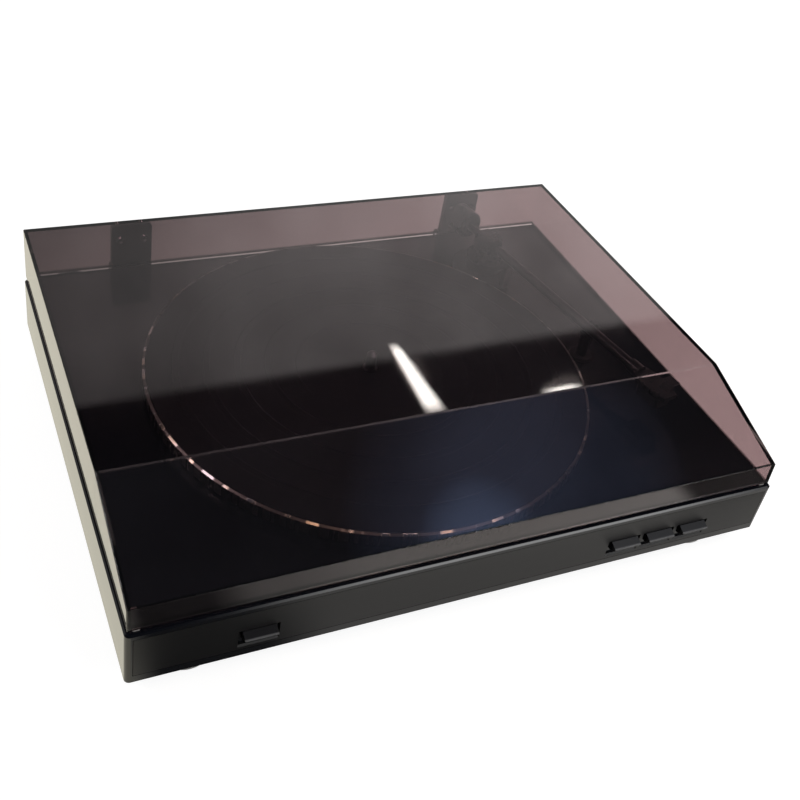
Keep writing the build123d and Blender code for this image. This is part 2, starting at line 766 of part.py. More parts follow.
# Hinges: a bracket with two ears on the cabinet, an arm on the cover and a pin through both
ear_width = (hinge_width - knuckle_width) / 2 - knuckle_side_gap
ear_foot_z = hinge_z - knuckle_radius - bracket_thickness
for side, middle in hinge_sides.items():
    with BuildPart() as hinge_bracket:
        for ear_x in (middle - hinge_width / 2, middle + hinge_width / 2 - ear_width):
            with BuildSketch(Plane.YZ.offset(ear_x)):
                with Locations((hinge_y, hinge_z)):
                    Circle(knuckle_radius)
                with Locations((rear_y, hinge_z)):
                    Rectangle(
                        hinge_axis_behind, 2 * knuckle_radius, align=(Align.MIN, Align.CENTER)
                    )
                with Locations((rear_y, ear_foot_z)):
                    Rectangle(
                        bracket_thickness, hinge_z - ear_foot_z, align=(Align.MIN, Align.MIN)
                    )
                with Locations((hinge_y, hinge_z)):
                    Circle(hinge_pin_radius + seat_clearance, mode=Mode.SUBTRACT)
            extrude(amount=ear_width)
        with BuildSketch(Plane.XZ.offset(-rear_y)):
            with Locations((middle, hinge_z - bracket_drop_height)):
                Rectangle(
                    hinge_width,
                    bracket_drop_height - knuckle_radius - knuckle_side_gap,
                    align=(Align.CENTER, Align.MIN),
                )
            with Locations(
                (middle - hinge_screw_spacing / 2, bracket_screw_z),
                (middle + hinge_screw_spacing / 2, bracket_screw_z),
            ):
                Circle(hinge_screw_radius + seat_clearance, mode=Mode.SUBTRACT)
        extrude(amount=-bracket_thickness)
    keep(hinge_bracket, f"hinge_bracket_{side}")

    with BuildPart() as hinge_arm:
        with BuildSketch(Plane.XZ.offset(-hinge_plate_y)):
            with Locations((middle, lid_z)):
                Rectangle(
                    hinge_width, hinge_plate_top_z - lid_z, align=(Align.CENTER, Align.MIN)
                )
        extrude(amount=-hinge_plate_thickness)
        fillet(
            hinge_arm.edges().filter_by(Axis.Y).group_by(Axis.Z)[-1], hinge_plate_corner_radius
        )
        with BuildSketch(Plane.YZ.offset(middle - knuckle_width / 2)):
            with Locations((hinge_y, hinge_z)):
                Circle(knuckle_radius)
            with Locations((hinge_plate_y, hinge_z)):
                Rectangle(
                    hinge_plate_thickness,
                    lid_z - hinge_z + hinge_plate_thickness,
                    align=(Align.MIN, Align.MIN),
                )
            with Locations((hinge_y, hinge_z)):
                Circle(hinge_pin_radius + running_clearance, mode=Mode.SUBTRACT)
        extrude(amount=knuckle_width)
        with BuildSketch(Plane.XZ.offset(-hinge_plate_y)):
            with Locations(
                (middle - hinge_screw_spacing / 2, hinge_screw_z),
                (middle + hinge_screw_spacing / 2, hinge_screw_z),
            ):
                Circle(hinge_screw_radius + seat_clearance)
        extrude(amount=-hinge_plate_thickness, mode=Mode.SUBTRACT)
    keep(hinge_arm, f"hinge_arm_{side}")

    with BuildPart() as hinge_pin:
        with BuildSketch(Plane.YZ.offset(middle - hinge_width / 2)):
            with Locations((hinge_y, hinge_z)):
                Circle(hinge_pin_radius)
        extrude(amount=hinge_width)
    keep(hinge_pin, f"hinge_pin_{side}")


def rear_screws(head_y, height, reach):
    """Four round head screws with their heads on the face at head_y, reaching forwards."""
    with BuildSketch(facing_back(head_y)) as heads:
        with Locations(*[(-x, height) for x in hinge_screw_xs]):
            Circle(hinge_screw_head_radius)
    extrude(heads.sketch, amount=hinge_screw_head_height)
    with BuildSketch(facing_back(head_y)) as shanks:
        with Locations(*[(-x, height) for x in hinge_screw_xs]):
            Circle(hinge_screw_radius)
    extrude(shanks.sketch, amount=-reach)


hinge_plate_back_y = hinge_plate_y + hinge_plate_thickness
with BuildPart() as hinge_arm_screws:
    boss_end_y = lid_rear_y - lid_wall_thickness - hinge_boss_height + hinge_boss_floor_thickness
    rear_screws(hinge_plate_back_y, hinge_screw_z, hinge_plate_back_y - boss_end_y - end_float_gap)
keep(hinge_arm_screws, "hinge_arm_screws")

with BuildPart() as hinge_bracket_screws:
    rear_screws(rear_y + bracket_thickness, bracket_screw_z, bracket_thickness + cabinet_wall_thickness)
keep(hinge_bracket_screws, "hinge_bracket_screws")

# Platter: a turned disc with a skirt, a hub and an inner ring that carries the belt
drive_ring_bottom_z = deck_z + drive_ring_deck_gap
with BuildPart() as platter:
    turn(
        [
            (spindle_seat_radius + seat_clearance, mat_seat_z),
            (mat_radius + mat_edge_gap, mat_seat_z),
            (mat_radius + mat_edge_gap, platter_top_z),
            (platter_radius - platter_rim_chamfer + mat_edge_gap, platter_top_z),
            (platter_radius, platter_top_z - platter_rim_chamfer),
            (platter_radius, platter_bottom_z),
            (platter_radius - platter_skirt_thickness, platter_bottom_z),
            (platter_radius - platter_skirt_thickness, web_under_z),
            (drive_ring_radius, web_under_z),
            (drive_ring_radius, drive_ring_bottom_z),
            (drive_ring_radius - drive_ring_wall_thickness, drive_ring_bottom_z),
            (drive_ring_radius - drive_ring_wall_thickness, web_under_z),
            (platter_hub_radius, web_under_z),
            (platter_hub_radius, hub_z),
            (spindle_seat_radius + seat_clearance, hub_z),
        ],
        spindle_x,
        spindle_y,
    )
    with BuildSketch(Plane.XY.offset(web_under_z)):
        with Locations((spindle_x, spindle_y)):
            with PolarLocations(finger_hole_circle_radius, 2):
                Circle(finger_hole_radius)
    extrude(amount=platter_web_thickness, mode=Mode.SUBTRACT)
keep(platter, "platter")

# Mat: a rubber disc with a sunk label area and shallow rings
mat_outline = [
    (spindle_seat_radius + mat_edge_gap, mat_seat_z),
    (mat_radius, mat_seat_z),
    (mat_radius, mat_top_z - mat_groove_depth),
    (mat_radius - mat_groove_depth, mat_top_z),
]
for radius in sorted(mat_groove_radii, reverse=True):
    mat_outline += [
        (radius + mat_groove_width, mat_top_z),
        (radius + mat_groove_width - mat_groove_depth, mat_top_z - mat_groove_depth),
        (radius + mat_groove_depth, mat_top_z - mat_groove_depth),
        (radius, mat_top_z),
    ]
mat_outline += [
    (mat_label_radius, mat_top_z),
    (mat_label_radius - mat_groove_depth, mat_top_z - mat_groove_depth),
    (spindle_seat_radius + mat_edge_gap, mat_top_z - mat_groove_depth),
]
with BuildPart() as platter_mat:
    turn(mat_outline, spindle_x, spindle_y)
keep(platter_mat, "platter_mat")

# Spindle with a collar under the platter's hub and a tapered nose
spindle_top_z = mat_top_z + spindle_above_mat
with BuildPart() as spindle:
    turn(
        [
            (0, bush_bottom_z + seat_clearance),
            (spindle_radius, bush_bottom_z + seat_clearance),
            (spindle_radius, collar_z),
            (spindle_collar_radius, collar_z),
            (spindle_collar_radius, hub_z),
            (spindle_seat_radius, hub_z),
            (spindle_seat_radius, mat_top_z),
            (spindle_radius, mat_top_z),
            (spindle_radius, spindle_top_z - spindle_nose_height),
            (spindle_nose_radius, spindle_top_z),
            (0, spindle_top_z),
        ],
        spindle_x,
        spindle_y,
    )
keep(spindle, "spindle")

with BuildPart() as bearing_bush:
    turn(
        [
            (spindle_radius + bush_running_gap, bush_bottom_z),
            (bush_radius, bush_bottom_z),
            (bush_radius, deck_z),
            (bush_flange_radius, deck_z),
            (bush_flange_radius, bush_top_z),
            (spindle_radius + bush_running_gap, bush_top_z),
        ],
        spindle_x,
        spindle_y,
    )
keep(bearing_bush, "bearing_bush")

with BuildPart() as thrust_cap:
    turn(
        [
            (0, bush_bottom_z - thrust_cap_floor_thickness),
            (thrust_cap_radius, bush_bottom_z - thrust_cap_floor_thickness),
            (thrust_cap_radius, bush_bottom_z + thrust_cap_overlap_length),
            (bush_radius + seat_clearance, bush_bottom_z + thrust_cap_overlap_length),
            (bush_radius + seat_clearance, bush_bottom_z),
            (0, bush_bottom_z),
        ],
        spindle_x,
        spindle_y,
    )
keep(thrust_cap, "thrust_cap")

# Motor under the deck, its screws, its pulley and the belt round pulley and drive ring
motor_top_z = deck_under_z - motor_flange_thickness
with BuildPart() as motor:
    with BuildSketch(Plane.XY.offset(deck_under_z)):
        with Locations((motor_x, motor_y)):
            Circle(motor_flange_radius)
            with PolarLocations(motor_screw_circle_radius, 3):
                Circle(motor_screw_radius + seat_clearance, mode=Mode.SUBTRACT)
    extrude(amount=-motor_flange_thickness)
    with BuildSketch(Plane.XY.offset(motor_top_z)):
        with Locations((motor_x, motor_y)):
            Circle(motor_radius)
    extrude(amount=-motor_height)
    fillet(motor.edges().group_by(Axis.Z)[0], motor_flange_thickness)
keep(motor, "motor")

with BuildPart() as motor_screws:
    with BuildSketch(Plane.XY.offset(deck_under_z - motor_flange_thickness)):
        with Locations((motor_x, motor_y)):
            with PolarLocations(motor_screw_circle_radius, 3):
                Circle(motor_screw_head_radius)
    extrude(amount=-motor_screw_head_height)
    with BuildSketch(Plane.XY.offset(deck_under_z - motor_flange_thickness)):
        with Locations((motor_x, motor_y)):
            with PolarLocations(motor_screw_circle_radius, 3):
                Circle(motor_screw_radius)
    extrude(amount=motor_flange_thickness + deck_thickness)
keep(motor_screws, "motor_screws")

pulley_belt_z = pulley_z + pulley_flange_height
pulley_belt_top_z = pulley_belt_z + belt_height + 2 * belt_gap
with BuildPart() as motor_pulley:
    turn(
        [
            (0, deck_under_z + end_float_gap),
            (motor_shaft_radius, deck_under_z + end_float_gap),
            (motor_shaft_radius, pulley_z),
            (pulley_radius + pulley_flange_width, pulley_z),
            (pulley_radius + pulley_flange_width, pulley_belt_z),
            (pulley_radius, pulley_belt_z),
            (pulley_radius, pulley_belt_top_z),
            (0, pulley_belt_top_z),
        ],
        motor_x,
        motor_y,
    )
keep(motor_pulley, "motor_pulley")

with BuildPart() as drive_belt:
    for grow, belt_mode in ((belt_gap + belt_thickness, Mode.ADD), (belt_gap, Mode.SUBTRACT)):
        with BuildSketch(Plane.XY.offset(belt_z)):
            with BuildLine():
                CenterArc((spindle_x, spindle_y), drive_ring_radius + grow, 0, 360)
                CenterArc((motor_x, motor_y), pulley_radius + grow, 0, 360)
            make_hull()
        extrude(amount=belt_height, mode=belt_mode)
keep(drive_belt, "drive_belt")

# Arm base with its turret and bush
with BuildPart() as arm_base:
    with BuildSketch(Plane.XY.offset(deck_z)):
        with BuildLine():
            CenterArc((arm_x, arm_y), arm_base_radius, 0, 360)
            CenterArc((lifter_post_x, lifter_post_y), lifter_boss_radius, 0, 360)
        make_hull()
    extrude(amount=arm_base_height)
    with BuildSketch(Plane.XY.offset(deck_z)):
        with Locations((arm_x, arm_y)):
            Circle(arm_turret_radius)
    extrude(amount=arm_turret_height, taper=4)
    with BuildSketch(Plane.XY.offset(deck_z)):
        with Locations((arm_x, arm_y)):
            Circle(arm_bush_radius)
    extrude(amount=-arm_bush_length)
    with BuildSketch(Plane.XY.offset(arm_turret_z)):
        with Locations((arm_x, arm_y)):
            Circle(yoke_shaft_radius + running_clearance)
    extrude(amount=-arm_turret_height - arm_bush_length, mode=Mode.SUBTRACT)
    with BuildSketch(Plane.XY.offset(deck_z)):
        with Locations((lifter_post_x, lifter_post_y)):
            Circle(lifter_post_radius + running_clearance)
    extrude(amount=arm_base_height, mode=Mode.SUBTRACT)
keep(arm_base, "arm_base")

# Arm yoke: a disc on a shaft, with two cheeks that hold the pivot pins
cheek_inner = arm_block_width / 2 + pivot_side_gap
cheek_middle = cheek_inner + yoke_wall_thickness / 2
yoke_top = yoke_above_pivot
with BuildPart() as arm_yoke:
    with BuildSketch(arm_plane.offset(yoke_z - arm_z)):
        Circle(yoke_disc_radius)
    extrude(amount=yoke_disc_height)
    with BuildSketch(arm_plane.offset(yoke_z - arm_z)):
        Circle(yoke_shaft_radius)
    extrude(amount=-yoke_shaft_length)
    with BuildSketch(arm_plane.offset(yoke_z + yoke_disc_height - arm_z)):
        with Locations((0, -cheek_middle), (0, cheek_middle)):
            Rectangle(yoke_depth, yoke_wall_thickness)
    extrude(amount=arm_z - yoke_z - yoke_disc_height + yoke_top)
    cheek_corners = arm_yoke.edges().filter_by(Axis((0, 0, 0), arm_plane.y_dir)).group_by(Axis.Z)[-1]
    fillet(cheek_corners, yoke_depth / 3)
    with Locations(arm_plane):
        Cylinder(
            pivot_pin_radius + running_clearance,
            4 * cheek_middle,
            rotation=(90, 0, 0),
            mode=Mode.SUBTRACT,
        )
keep(arm_yoke, "arm_yoke")

# Pivot block of the arm, with its two pins and the stub for the counterweight
with BuildPart() as arm_pivot_block:
    with Locations(arm_plane):
        Box(arm_block_length, arm_block_width, arm_block_height)
    fillet(arm_pivot_block.edges().filter_by(Axis((0, 0, 0), arm_plane.x_dir)), pivot_pin_radius)
    with Locations(arm_plane):
        Cylinder(pivot_pin_radius, 2 * (cheek_inner + yoke_wall_thickness), rotation=(90, 0, 0))
    with Locations(arm_plane * Pos(-arm_block_length / 2, 0, 0)):
        Cylinder(
            arm_stub_radius,
            arm_stub_length + counterweight_offset,
            rotation=(0, -90, 0),
            align=(Align.CENTER, Align.CENTER, Align.MIN),
        )
keep(arm_pivot_block, "arm_pivot_block")

with BuildPart() as counterweight:
    with Locations(arm_plane * Pos(-arm_block_length / 2 - counterweight_offset, 0, 0)):
        Cylinder(
            counterweight_radius,
            counterweight_length,
            rotation=(0, -90, 0),
            align=(Align.CENTER, Align.CENTER, Align.MIN),
        )
    chamfer(counterweight.edges().filter_by(GeomType.CIRCLE), counterweight_chamfer)
    with Locations(arm_plane * Pos(-arm_block_length / 2 - counterweight_offset, 0, 0)):
        Cylinder(
            arm_stub_radius + seat_clearance,
            3 * counterweight_length,
            rotation=(0, -90, 0),
            mode=Mode.SUBTRACT,
        )
keep(counterweight, "counterweight")

# Arm tube from the pivot block into the headshell's socket
shell_end = arm_length + headshell_past_stylus
shell_start = shell_end - headshell_length
arm_tube_end = shell_start + arm_tube_into_headshell
tube_length = arm_tube_end - arm_block_length / 2
with BuildPart() as arm_tube:
    with Locations(arm_plane * Pos(arm_block_length / 2, 0, 0)):
        Cylinder(
            arm_tube_radius,
            tube_length,
            rotation=(0, 90, 0),
            align=(Align.CENTER, Align.CENTER, Align.MIN),
        )
        Cylinder(
            arm_tube_bore_radius,
            tube_length,
            rotation=(0, 90, 0),
            align=(Align.CENTER, Align.CENTER, Align.MIN),
            mode=Mode.SUBTRACT,
        )
keep(arm_tube, "arm_tube")

# Headshell: a tapering plate with a socket for the tube and a finger lift at its outer side
cartridge_top = stylus_z + cantilever_radius + stylus_body_height + cartridge_height - arm_z
with BuildPart() as headshell:
    with BuildSketch(arm_plane.offset(cartridge_top)):
        with BuildLine():
            Polyline(
                (shell_start, -headshell_nose_width / 2),
                (shell_start + headshell_socket_length, -headshell_width / 2),
                (shell_end - headshell_past_stylus, -headshell_width / 2),
                (shell_end, -headshell_nose_width / 2),
                (shell_end, headshell_nose_width / 2),
                (shell_end - headshell_past_stylus, headshell_width / 2),
                (shell_start + headshell_socket_length, headshell_width / 2),
                (shell_start, headshell_nose_width / 2),
                close=True,
            )
        make_face()
    extrude(amount=headshell_thickness)
    chamfer(
        headshell.faces().sort_by(Axis.Z)[-1].edges().sort_by(SortBy.DISTANCE)[-1:],
        headshell_thickness / 3,
    )
    with Locations(arm_plane * Pos(arm_tube_end - headshell_socket_length, 0, 0)):
        Cylinder(
            headshell_socket_radius,
            headshell_socket_length,
            rotation=(0, 90, 0),
            align=(Align.CENTER, Align.CENTER, Align.MIN),
        )
    with BuildSketch(arm_plane.offset(cartridge_top + headshell_thickness - finger_lift_thickness)):
        with Locations((arm_length - finger_lift_length, headshell_width / 2)):
            Rectangle(
                finger_lift_length, finger_lift_width, align=(Align.MIN, Align.MIN)
            )
    extrude(amount=finger_lift_thickness)
    with Locations(arm_plane * Pos(arm_block_length / 2, 0, 0)):
        Cylinder(
            arm_tube_radius + seat_clearance,
            tube_length,
            rotation=(0, 90, 0),
            align=(Align.CENTER, Align.CENTER, Align.MIN),
            mode=Mode.SUBTRACT,
        )
keep(headshell, "headshell")

# Cartridge under the headshell, and its stylus
cartridge_end = arm_length + headshell_past_stylus / 2
with BuildPart() as cartridge:
    with BuildSketch(arm_plane.offset(cartridge_top)):
        with Locations((cartridge_end - cartridge_length / 2, 0)):
            Rectangle(cartridge_length, cartridge_width)
    extrude(amount=-cartridge_height)
    chamfer(cartridge.edges().filter_by(Axis.Z), cartridge_chamfer)
    with Locations(arm_plane * Pos(arm_block_length / 2, 0, 0)):
        Cylinder(
            headshell_socket_radius + seat_clearance,
            tube_length,
            rotation=(0, 90, 0),
            align=(Align.CENTER, Align.CENTER, Align.MIN),
            mode=Mode.SUBTRACT,
        )
keep(cartridge, "cartridge")

stylus_top = cartridge_top - cartridge_height
with BuildPart() as stylus:
    with BuildSketch(arm_plane.offset(stylus_top)):
        with Locations((cartridge_end - stylus_body_length / 2, 0)):
            Rectangle(stylus_body_length, stylus_body_width)
    extrude(amount=-stylus_body_height, taper=20)
    cantilever_start = cartridge_end - stylus_body_length / 2
    cantilever_rise = stylus_body_height / 2
    with BuildLine():
        Line(
            arm_plane.from_local_coords((cantilever_start, 0, stylus_top - cantilever_rise)),
            arm_plane.from_local_coords((arm_length, 0, stylus_z + cantilever_radius - arm_z)),
        )
    cantilever_dir = arm_plane.from_local_coords(
        (arm_length, 0, stylus_z + cantilever_radius - arm_z)
    ) - arm_plane.from_local_coords((cantilever_start, 0, stylus_top - cantilever_rise))
    with BuildSketch(
        Plane(
            arm_plane.from_local_coords((cantilever_start, 0, stylus_top - cantilever_rise)),
            z_dir=cantilever_dir,
        )
    ):
        Circle(cantilever_radius)
    sweep()
keep(stylus, "stylus")

# Arm rest: a post with a shelf below the tube and a guard on the outer side
rest_shelf_top = -arm_tube_radius - arm_rest_gap
rest_inner = -arm_tube_radius
rest_outer = arm_tube_radius + arm_rest_gap
rest_plane = Plane(
    arm_plane.from_local_coords((arm_rest_from_pivot - arm_rest_length / 2, 0, 0)),
    x_dir=arm_plane.y_dir,
    z_dir=arm_plane.x_dir,
)
with BuildPart() as arm_rest:
    with BuildSketch(rest_plane):
        with BuildLine():
            Polyline(
                (rest_inner, rest_shelf_top),
                (rest_outer, rest_shelf_top),
                (rest_outer, arm_tube_radius),
                (rest_outer + arm_rest_guard_thickness, arm_tube_radius),
                (rest_outer + arm_rest_guard_thickness, rest_shelf_top - arm_rest_shelf_thickness),
                (rest_inner, rest_shelf_top - arm_rest_shelf_thickness),
                close=True,
            )
        make_face()
    extrude(amount=arm_rest_length)
    with BuildSketch(Plane.XY.offset(deck_z)):
        with Locations((arm_rest_x, arm_rest_y)):
            Circle(arm_rest_foot_radius)
    extrude(amount=arm_rest_foot_height, taper=20)
    with BuildSketch(Plane.XY.offset(deck_z)):
        with Locations((arm_rest_x, arm_rest_y)):
            Circle(arm_rest_post_radius)
    extrude(amount=arm_z + rest_shelf_top - arm_rest_shelf_thickness - deck_z)
keep(arm_rest, "arm_rest")

# Arm lifter: an arc under the tube, on a post that slides in the arm base
lifter_start = -90 + arm_rest_angle + lifter_outer_angle
lifter_sweep = -(arm_swing + lifter_outer_angle + lifter_inner_angle)
lifter_arc = CenterArc((arm_x, arm_y), lifter_radius, lifter_start, lifter_sweep)
with BuildPart() as arm_lifter:
    with BuildSketch(Plane.XY.offset(lifter_top_z)):
        SlotArc(lifter_arc, lifter_width)
    extrude(amount=-lifter_thickness)
    with BuildSketch(Plane.XY.offset(lifter_top_z - lifter_thickness)):
        with Locations((lifter_post_x, lifter_post_y)):
            Circle(lifter_post_radius)
    extrude(amount=-lifter_post_length)
keep(arm_lifter, "arm_lifter")

# Main board on its posts
with BuildPart() as main_board:
    with BuildSketch(Plane.XY.offset(board_under_z)):
        with Locations((board_x, board_y)):
            Rectangle(board_length, board_width)
    extrude(amount=board_thickness)
    with BuildSketch(Plane.XY.offset(cover_top_z)):
        with Locations((board_x, board_y)):
            with GridLocations(
                board_length - 2 * board_post_inset, board_width - 2 * board_post_inset, 2, 2
            ):
                Circle(board_post_radius)
    extrude(amount=board_post_height)
    with BuildSketch(Plane.XY.offset(board_top_z)):
        with Locations((board_x, board_y)):
            with GridLocations(capacitor_pitch, capacitor_pitch, 3, 1):
                Circle(capacitor_radius)
    extrude(amount=capacitor_height)
    with BuildSketch(Plane.XY.offset(board_top_z)):
        with Locations((board_x, board_y + board_width / 2 - heat_sink_width)):
            Rectangle(heat_sink_length, heat_sink_width)
    extrude(amount=heat_sink_height)
keep(main_board, "main_board")

# Power transformer: a laminated core through a wound bobbin, on a clamp with two feet
transformer_y = rear_y - transformer_from_rear
with BuildPart() as transformer:
    with BuildSketch(Plane.XY.offset(cover_top_z)):
        with Locations((transformer_x, transformer_y)):
            SlotOverall(transformer_foot_length, transformer_core_width)
    extrude(amount=transformer_foot_thickness)
    with BuildSketch(Plane.XY.offset(cover_top_z)):
        with Locations((transformer_x, transformer_y)):
            Rectangle(transformer_core_length, transformer_core_width)
    extrude(amount=transformer_core_height)
    with BuildSketch(
        Plane.XY.offset(cover_top_z + (transformer_core_height - transformer_coil_height) / 2)
    ):
        with Locations((transformer_x, transformer_y)):
            RectangleRounded(
                transformer_coil_length, transformer_coil_width, transformer_coil_width / 6
            )
    extrude(amount=transformer_coil_height)
keep(transformer, "transformer")

# Phono sockets and earth terminal on a plate on the rear wall
socket_xs = [
    socket_plate_x - earth_post_x / 2 + shift for shift in (-socket_pitch / 2, socket_pitch / 2)
]
earth_x = socket_plate_x + earth_post_x
with BuildPart() as socket_plate:
    with BuildSketch(facing_back(rear_y)):
        with Locations((-socket_plate_x, socket_z)):
            RectangleRounded(socket_plate_width, socket_plate_height, socket_plate_thickness)
        with Locations(*[(-x, socket_z) for x in socket_xs]):
            Circle(socket_radius + seat_clearance, mode=Mode.SUBTRACT)
        with Locations((-earth_x, socket_z)):
            Circle(earth_post_radius + seat_clearance, mode=Mode.SUBTRACT)
    extrude(amount=socket_plate_thickness)
keep(socket_plate, "socket_plate")

with BuildPart() as phono_sockets:
    with BuildSketch(facing_back(inner_rear_y)):
        with Locations(*[(-x, socket_z) for x in socket_xs]):
            Circle(socket_radius)
    extrude(amount=cabinet_wall_thickness + socket_plate_thickness + socket_length)
    with BuildSketch(facing_back(rear_y + socket_plate_thickness)):
        with Locations(*[(-x, socket_z) for x in socket_xs]):
            Circle(socket_collar_radius)
    extrude(amount=socket_collar_length)
    with BuildSketch(facing_back(rear_y + socket_plate_thickness)):
        with Locations(*[(-x, socket_z) for x in socket_xs]):
            Circle(socket_bore_radius)
    extrude(amount=socket_length, mode=Mode.SUBTRACT)
keep(phono_sockets, "phono_sockets")

with BuildPart() as earth_terminal:
    with BuildSketch(facing_back(inner_rear_y)):
        with Locations((-earth_x, socket_z)):
            Circle(earth_post_radius)
    extrude(amount=cabinet_wall_thickness + socket_plate_thickness + earth_nut_length)
    with BuildSketch(facing_back(rear_y + socket_plate_thickness)):
        with Locations((-earth_x, socket_z)):
            Circle(earth_nut_radius)
    extrude(amount=earth_nut_length)
    chamfer(earth_terminal.edges().group_by(Axis.Y)[-1], earth_post_radius / 2)
keep(earth_terminal, "earth_terminal")

# Mains lead: strain relief, free stretch, tied hank and plug
with BuildPart() as mains_strain_relief:
    with BuildSketch(Plane((gland_x, 0, gland_z), x_dir=(1, 0, 0), z_dir=(0, 0, 1))):
        with BuildLine():
            Polyline(
                (0, inner_rear_y - gland_flange_thickness),
                (gland_flange_radius, inner_rear_y - gland_flange_thickness),
                (gland_flange_radius, inner_rear_y),
                (gland_neck_radius, inner_rear_y),
                (gland_neck_radius, rear_y),
                (gland_flange_radius, rear_y),
                (gland_flange_radius, rear_y + gland_flange_thickness),
                (gland_root_radius, rear_y + gland_flange_thickness),
                (gland_tip_radius, rear_y + gland_length),
                (0, rear_y + gland_length),
                close=True,
            )
        make_face()
    revolve(axis=Axis((gland_x, 0, gland_z), (0, 1, 0)))
keep(mains_strain_relief, "mains_strain_relief")

# The hank is a flat winding of straight runs and half turns, two layers deep
strand_pitch = 2 * lead_radius + hank_strand_gap
lower_z = lead_radius + lead_floor_gap
upper_z = lower_z + strand_pitch
hank_radii = [
    hank_inner_radius + step * strand_pitch / 2 for step in reversed(range(2 * hank_turns))
]
hank_near_y = rear_y + hank_wall_gap + lead_radius
hank_far_y = hank_near_y + 2 * hank_radii[0]
hank_left_x = left_x + hank_from_side
hank_right_x = hank_left_x + hank_run_length

# The free stretch, from the strain relief round to the first run of the hank
lead_start_y = rear_y + gland_length
lead_shares = (
    (0, 0, 0),
    (0, 0.44, 0),
    (0.061, 0.832, 0.13),
    (0.167, 1.036, 0.4),
    (0.36, 1.07, 0.71),
    (0.6, 1.04, 0.92),
    (0.82, 1, 1),
    (1, 1, 1),
)
lead_route = [
    (
        gland_x + along * (hank_left_x - gland_x),
        lead_start_y + back * (hank_far_y - lead_start_y),
        gland_z + down * (lower_z - gland_z),
    )
    for along, back, down in lead_shares
]
for point in lead_route:
    print("mains lead point", [round(value, 2) for value in point])


def corner_radii(route):
    """The largest radius that each corner's shorter run allows."""
    radii = []
    for before, corner, after in zip(route, route[1:], route[2:]):
        arriving = Vector(*corner) - Vector(*before)
        leaving = Vector(*after) - Vector(*corner)
        half_turn = radians(arriving.get_angle(leaving)) / 2
        radii.append(0.45 * min(arriving.length, leaving.length) / tan(half_turn))
    return radii


lead_radii = corner_radii(lead_route)
print("mains lead radii", [round(radius, 1) for radius in lead_radii])
with BuildPart() as mains_lead:
    with BuildLine() as lead_line:
        FilletPolyline(*lead_route, radius=lead_radii)
    with BuildSketch(Plane(lead_line.line @ 0, z_dir=lead_line.line % 0)):
        Circle(lead_radius)
    sweep()
lead_length = lead_line.wire().length
print("mains lead volume share", mains_lead.part.volume / (pi * lead_radius**2 * lead_length))
keep(mains_lead, "mains_lead")

with BuildPart() as mains_hank:
    with BuildLine() as hank_line:
        level = lower_z
        far_y = hank_far_y
        winding = hank_radii + hank_radii[::-1]
        Line((hank_left_x, far_y, level), (hank_right_x, far_y, level))
        for number, radius in enumerate(winding):
            on_right = number % 2 == 0
            end_x = hank_right_x if on_right else hank_left_x
            other_x = hank_left_x if on_right else hank_right_x
            near_y = far_y - 2 * radius if on_right else far_y + 2 * radius
            bulge_x = end_x + radius if on_right else end_x - radius
            ThreePointArc(
                (end_x, far_y, level),
                (bulge_x, (far_y + near_y) / 2, level),
                (end_x, near_y, level),
            )
            far_y = near_y
            if number == len(hank_radii) - 1:
                halfway = (end_x + other_x) / 2
                TangentArc((end_x, far_y, level), (halfway, far_y, (level + upper_z) / 2),
                           tangent=(other_x - end_x, 0, 0))
                TangentArc((other_x, far_y, upper_z), (halfway, far_y, (level + upper_z) / 2),
                           tangent=(end_x - other_x, 0, 0))
                level = upper_z
            elif number < len(winding) - 1:
                Line((end_x, far_y, level), (other_x, far_y, level))
            else:
                tail = Line((end_x, far_y, level), (other_x + hank_end_length, far_y, level))
                bend = JernArc(tail @ 1, tail % 1, hank_end_radius, -hank_end_angle)
                Line(bend @ 1, bend @ 1 + hank_tip_length * (bend % 1))
    with BuildSketch(Plane(hank_line.line @ 0, z_dir=hank_line.line % 0)):
        Circle(lead_radius)
    sweep()
hank_length = hank_line.wire().length
print("mains hank volume share", mains_hank.part.volume / (pi * lead_radius**2 * hank_length))
print("mains lead length", round(lead_length + hank_length))
keep(mains_hank, "mains_hank")


def least_gap(line, steps):
    """The least gap between strands of a winding, measured on points along its line."""
    points = [line @ (step / steps) for step in range(steps + 1)]
    spacing = line.length / steps
    apart = int(3 * lead_radius * pi / spacing)
    return min(
        (first - second).length
        for number, first in enumerate(points)
        for second in points[number + apart :]
    ) - 2 * lead_radius


print("mains hank least gap", round(least_gap(hank_line.wire(), 400), 2))

# Ties round the two sides of the hank, whose far side also holds the climbing strand
tie_x = (hank_left_x + hank_right_x) / 2
tie_top_z = upper_z + lead_radius + tie_gap + tie_thickness
tie_sides = ((hank_near_y, 1, hank_turns), (hank_far_y, -1, hank_turns + 1))
with BuildPart() as cord_ties:
    with BuildSketch(Plane.YZ.offset(tie_x - tie_width / 2)):
        for outer_y, inward, strands in tie_sides:
            tie_span = 2 * lead_radius + (strands - 1) * strand_pitch + 2 * tie_gap
            tie_middle = outer_y + inward * (strands - 1) * strand_pitch / 2
            with Locations((tie_middle, 0)):
                Rectangle(
                    tie_span + 2 * tie_thickness, tie_top_z, align=(Align.CENTER, Align.MIN)
                )
            with Locations((tie_middle, 0)):
                Rectangle(
                    tie_span,
                    tie_top_z - tie_thickness,
                    align=(Align.CENTER, Align.MIN),
                    mode=Mode.SUBTRACT,
                )
    extrude(amount=tie_width)
keep(cord_ties, "cord_ties")

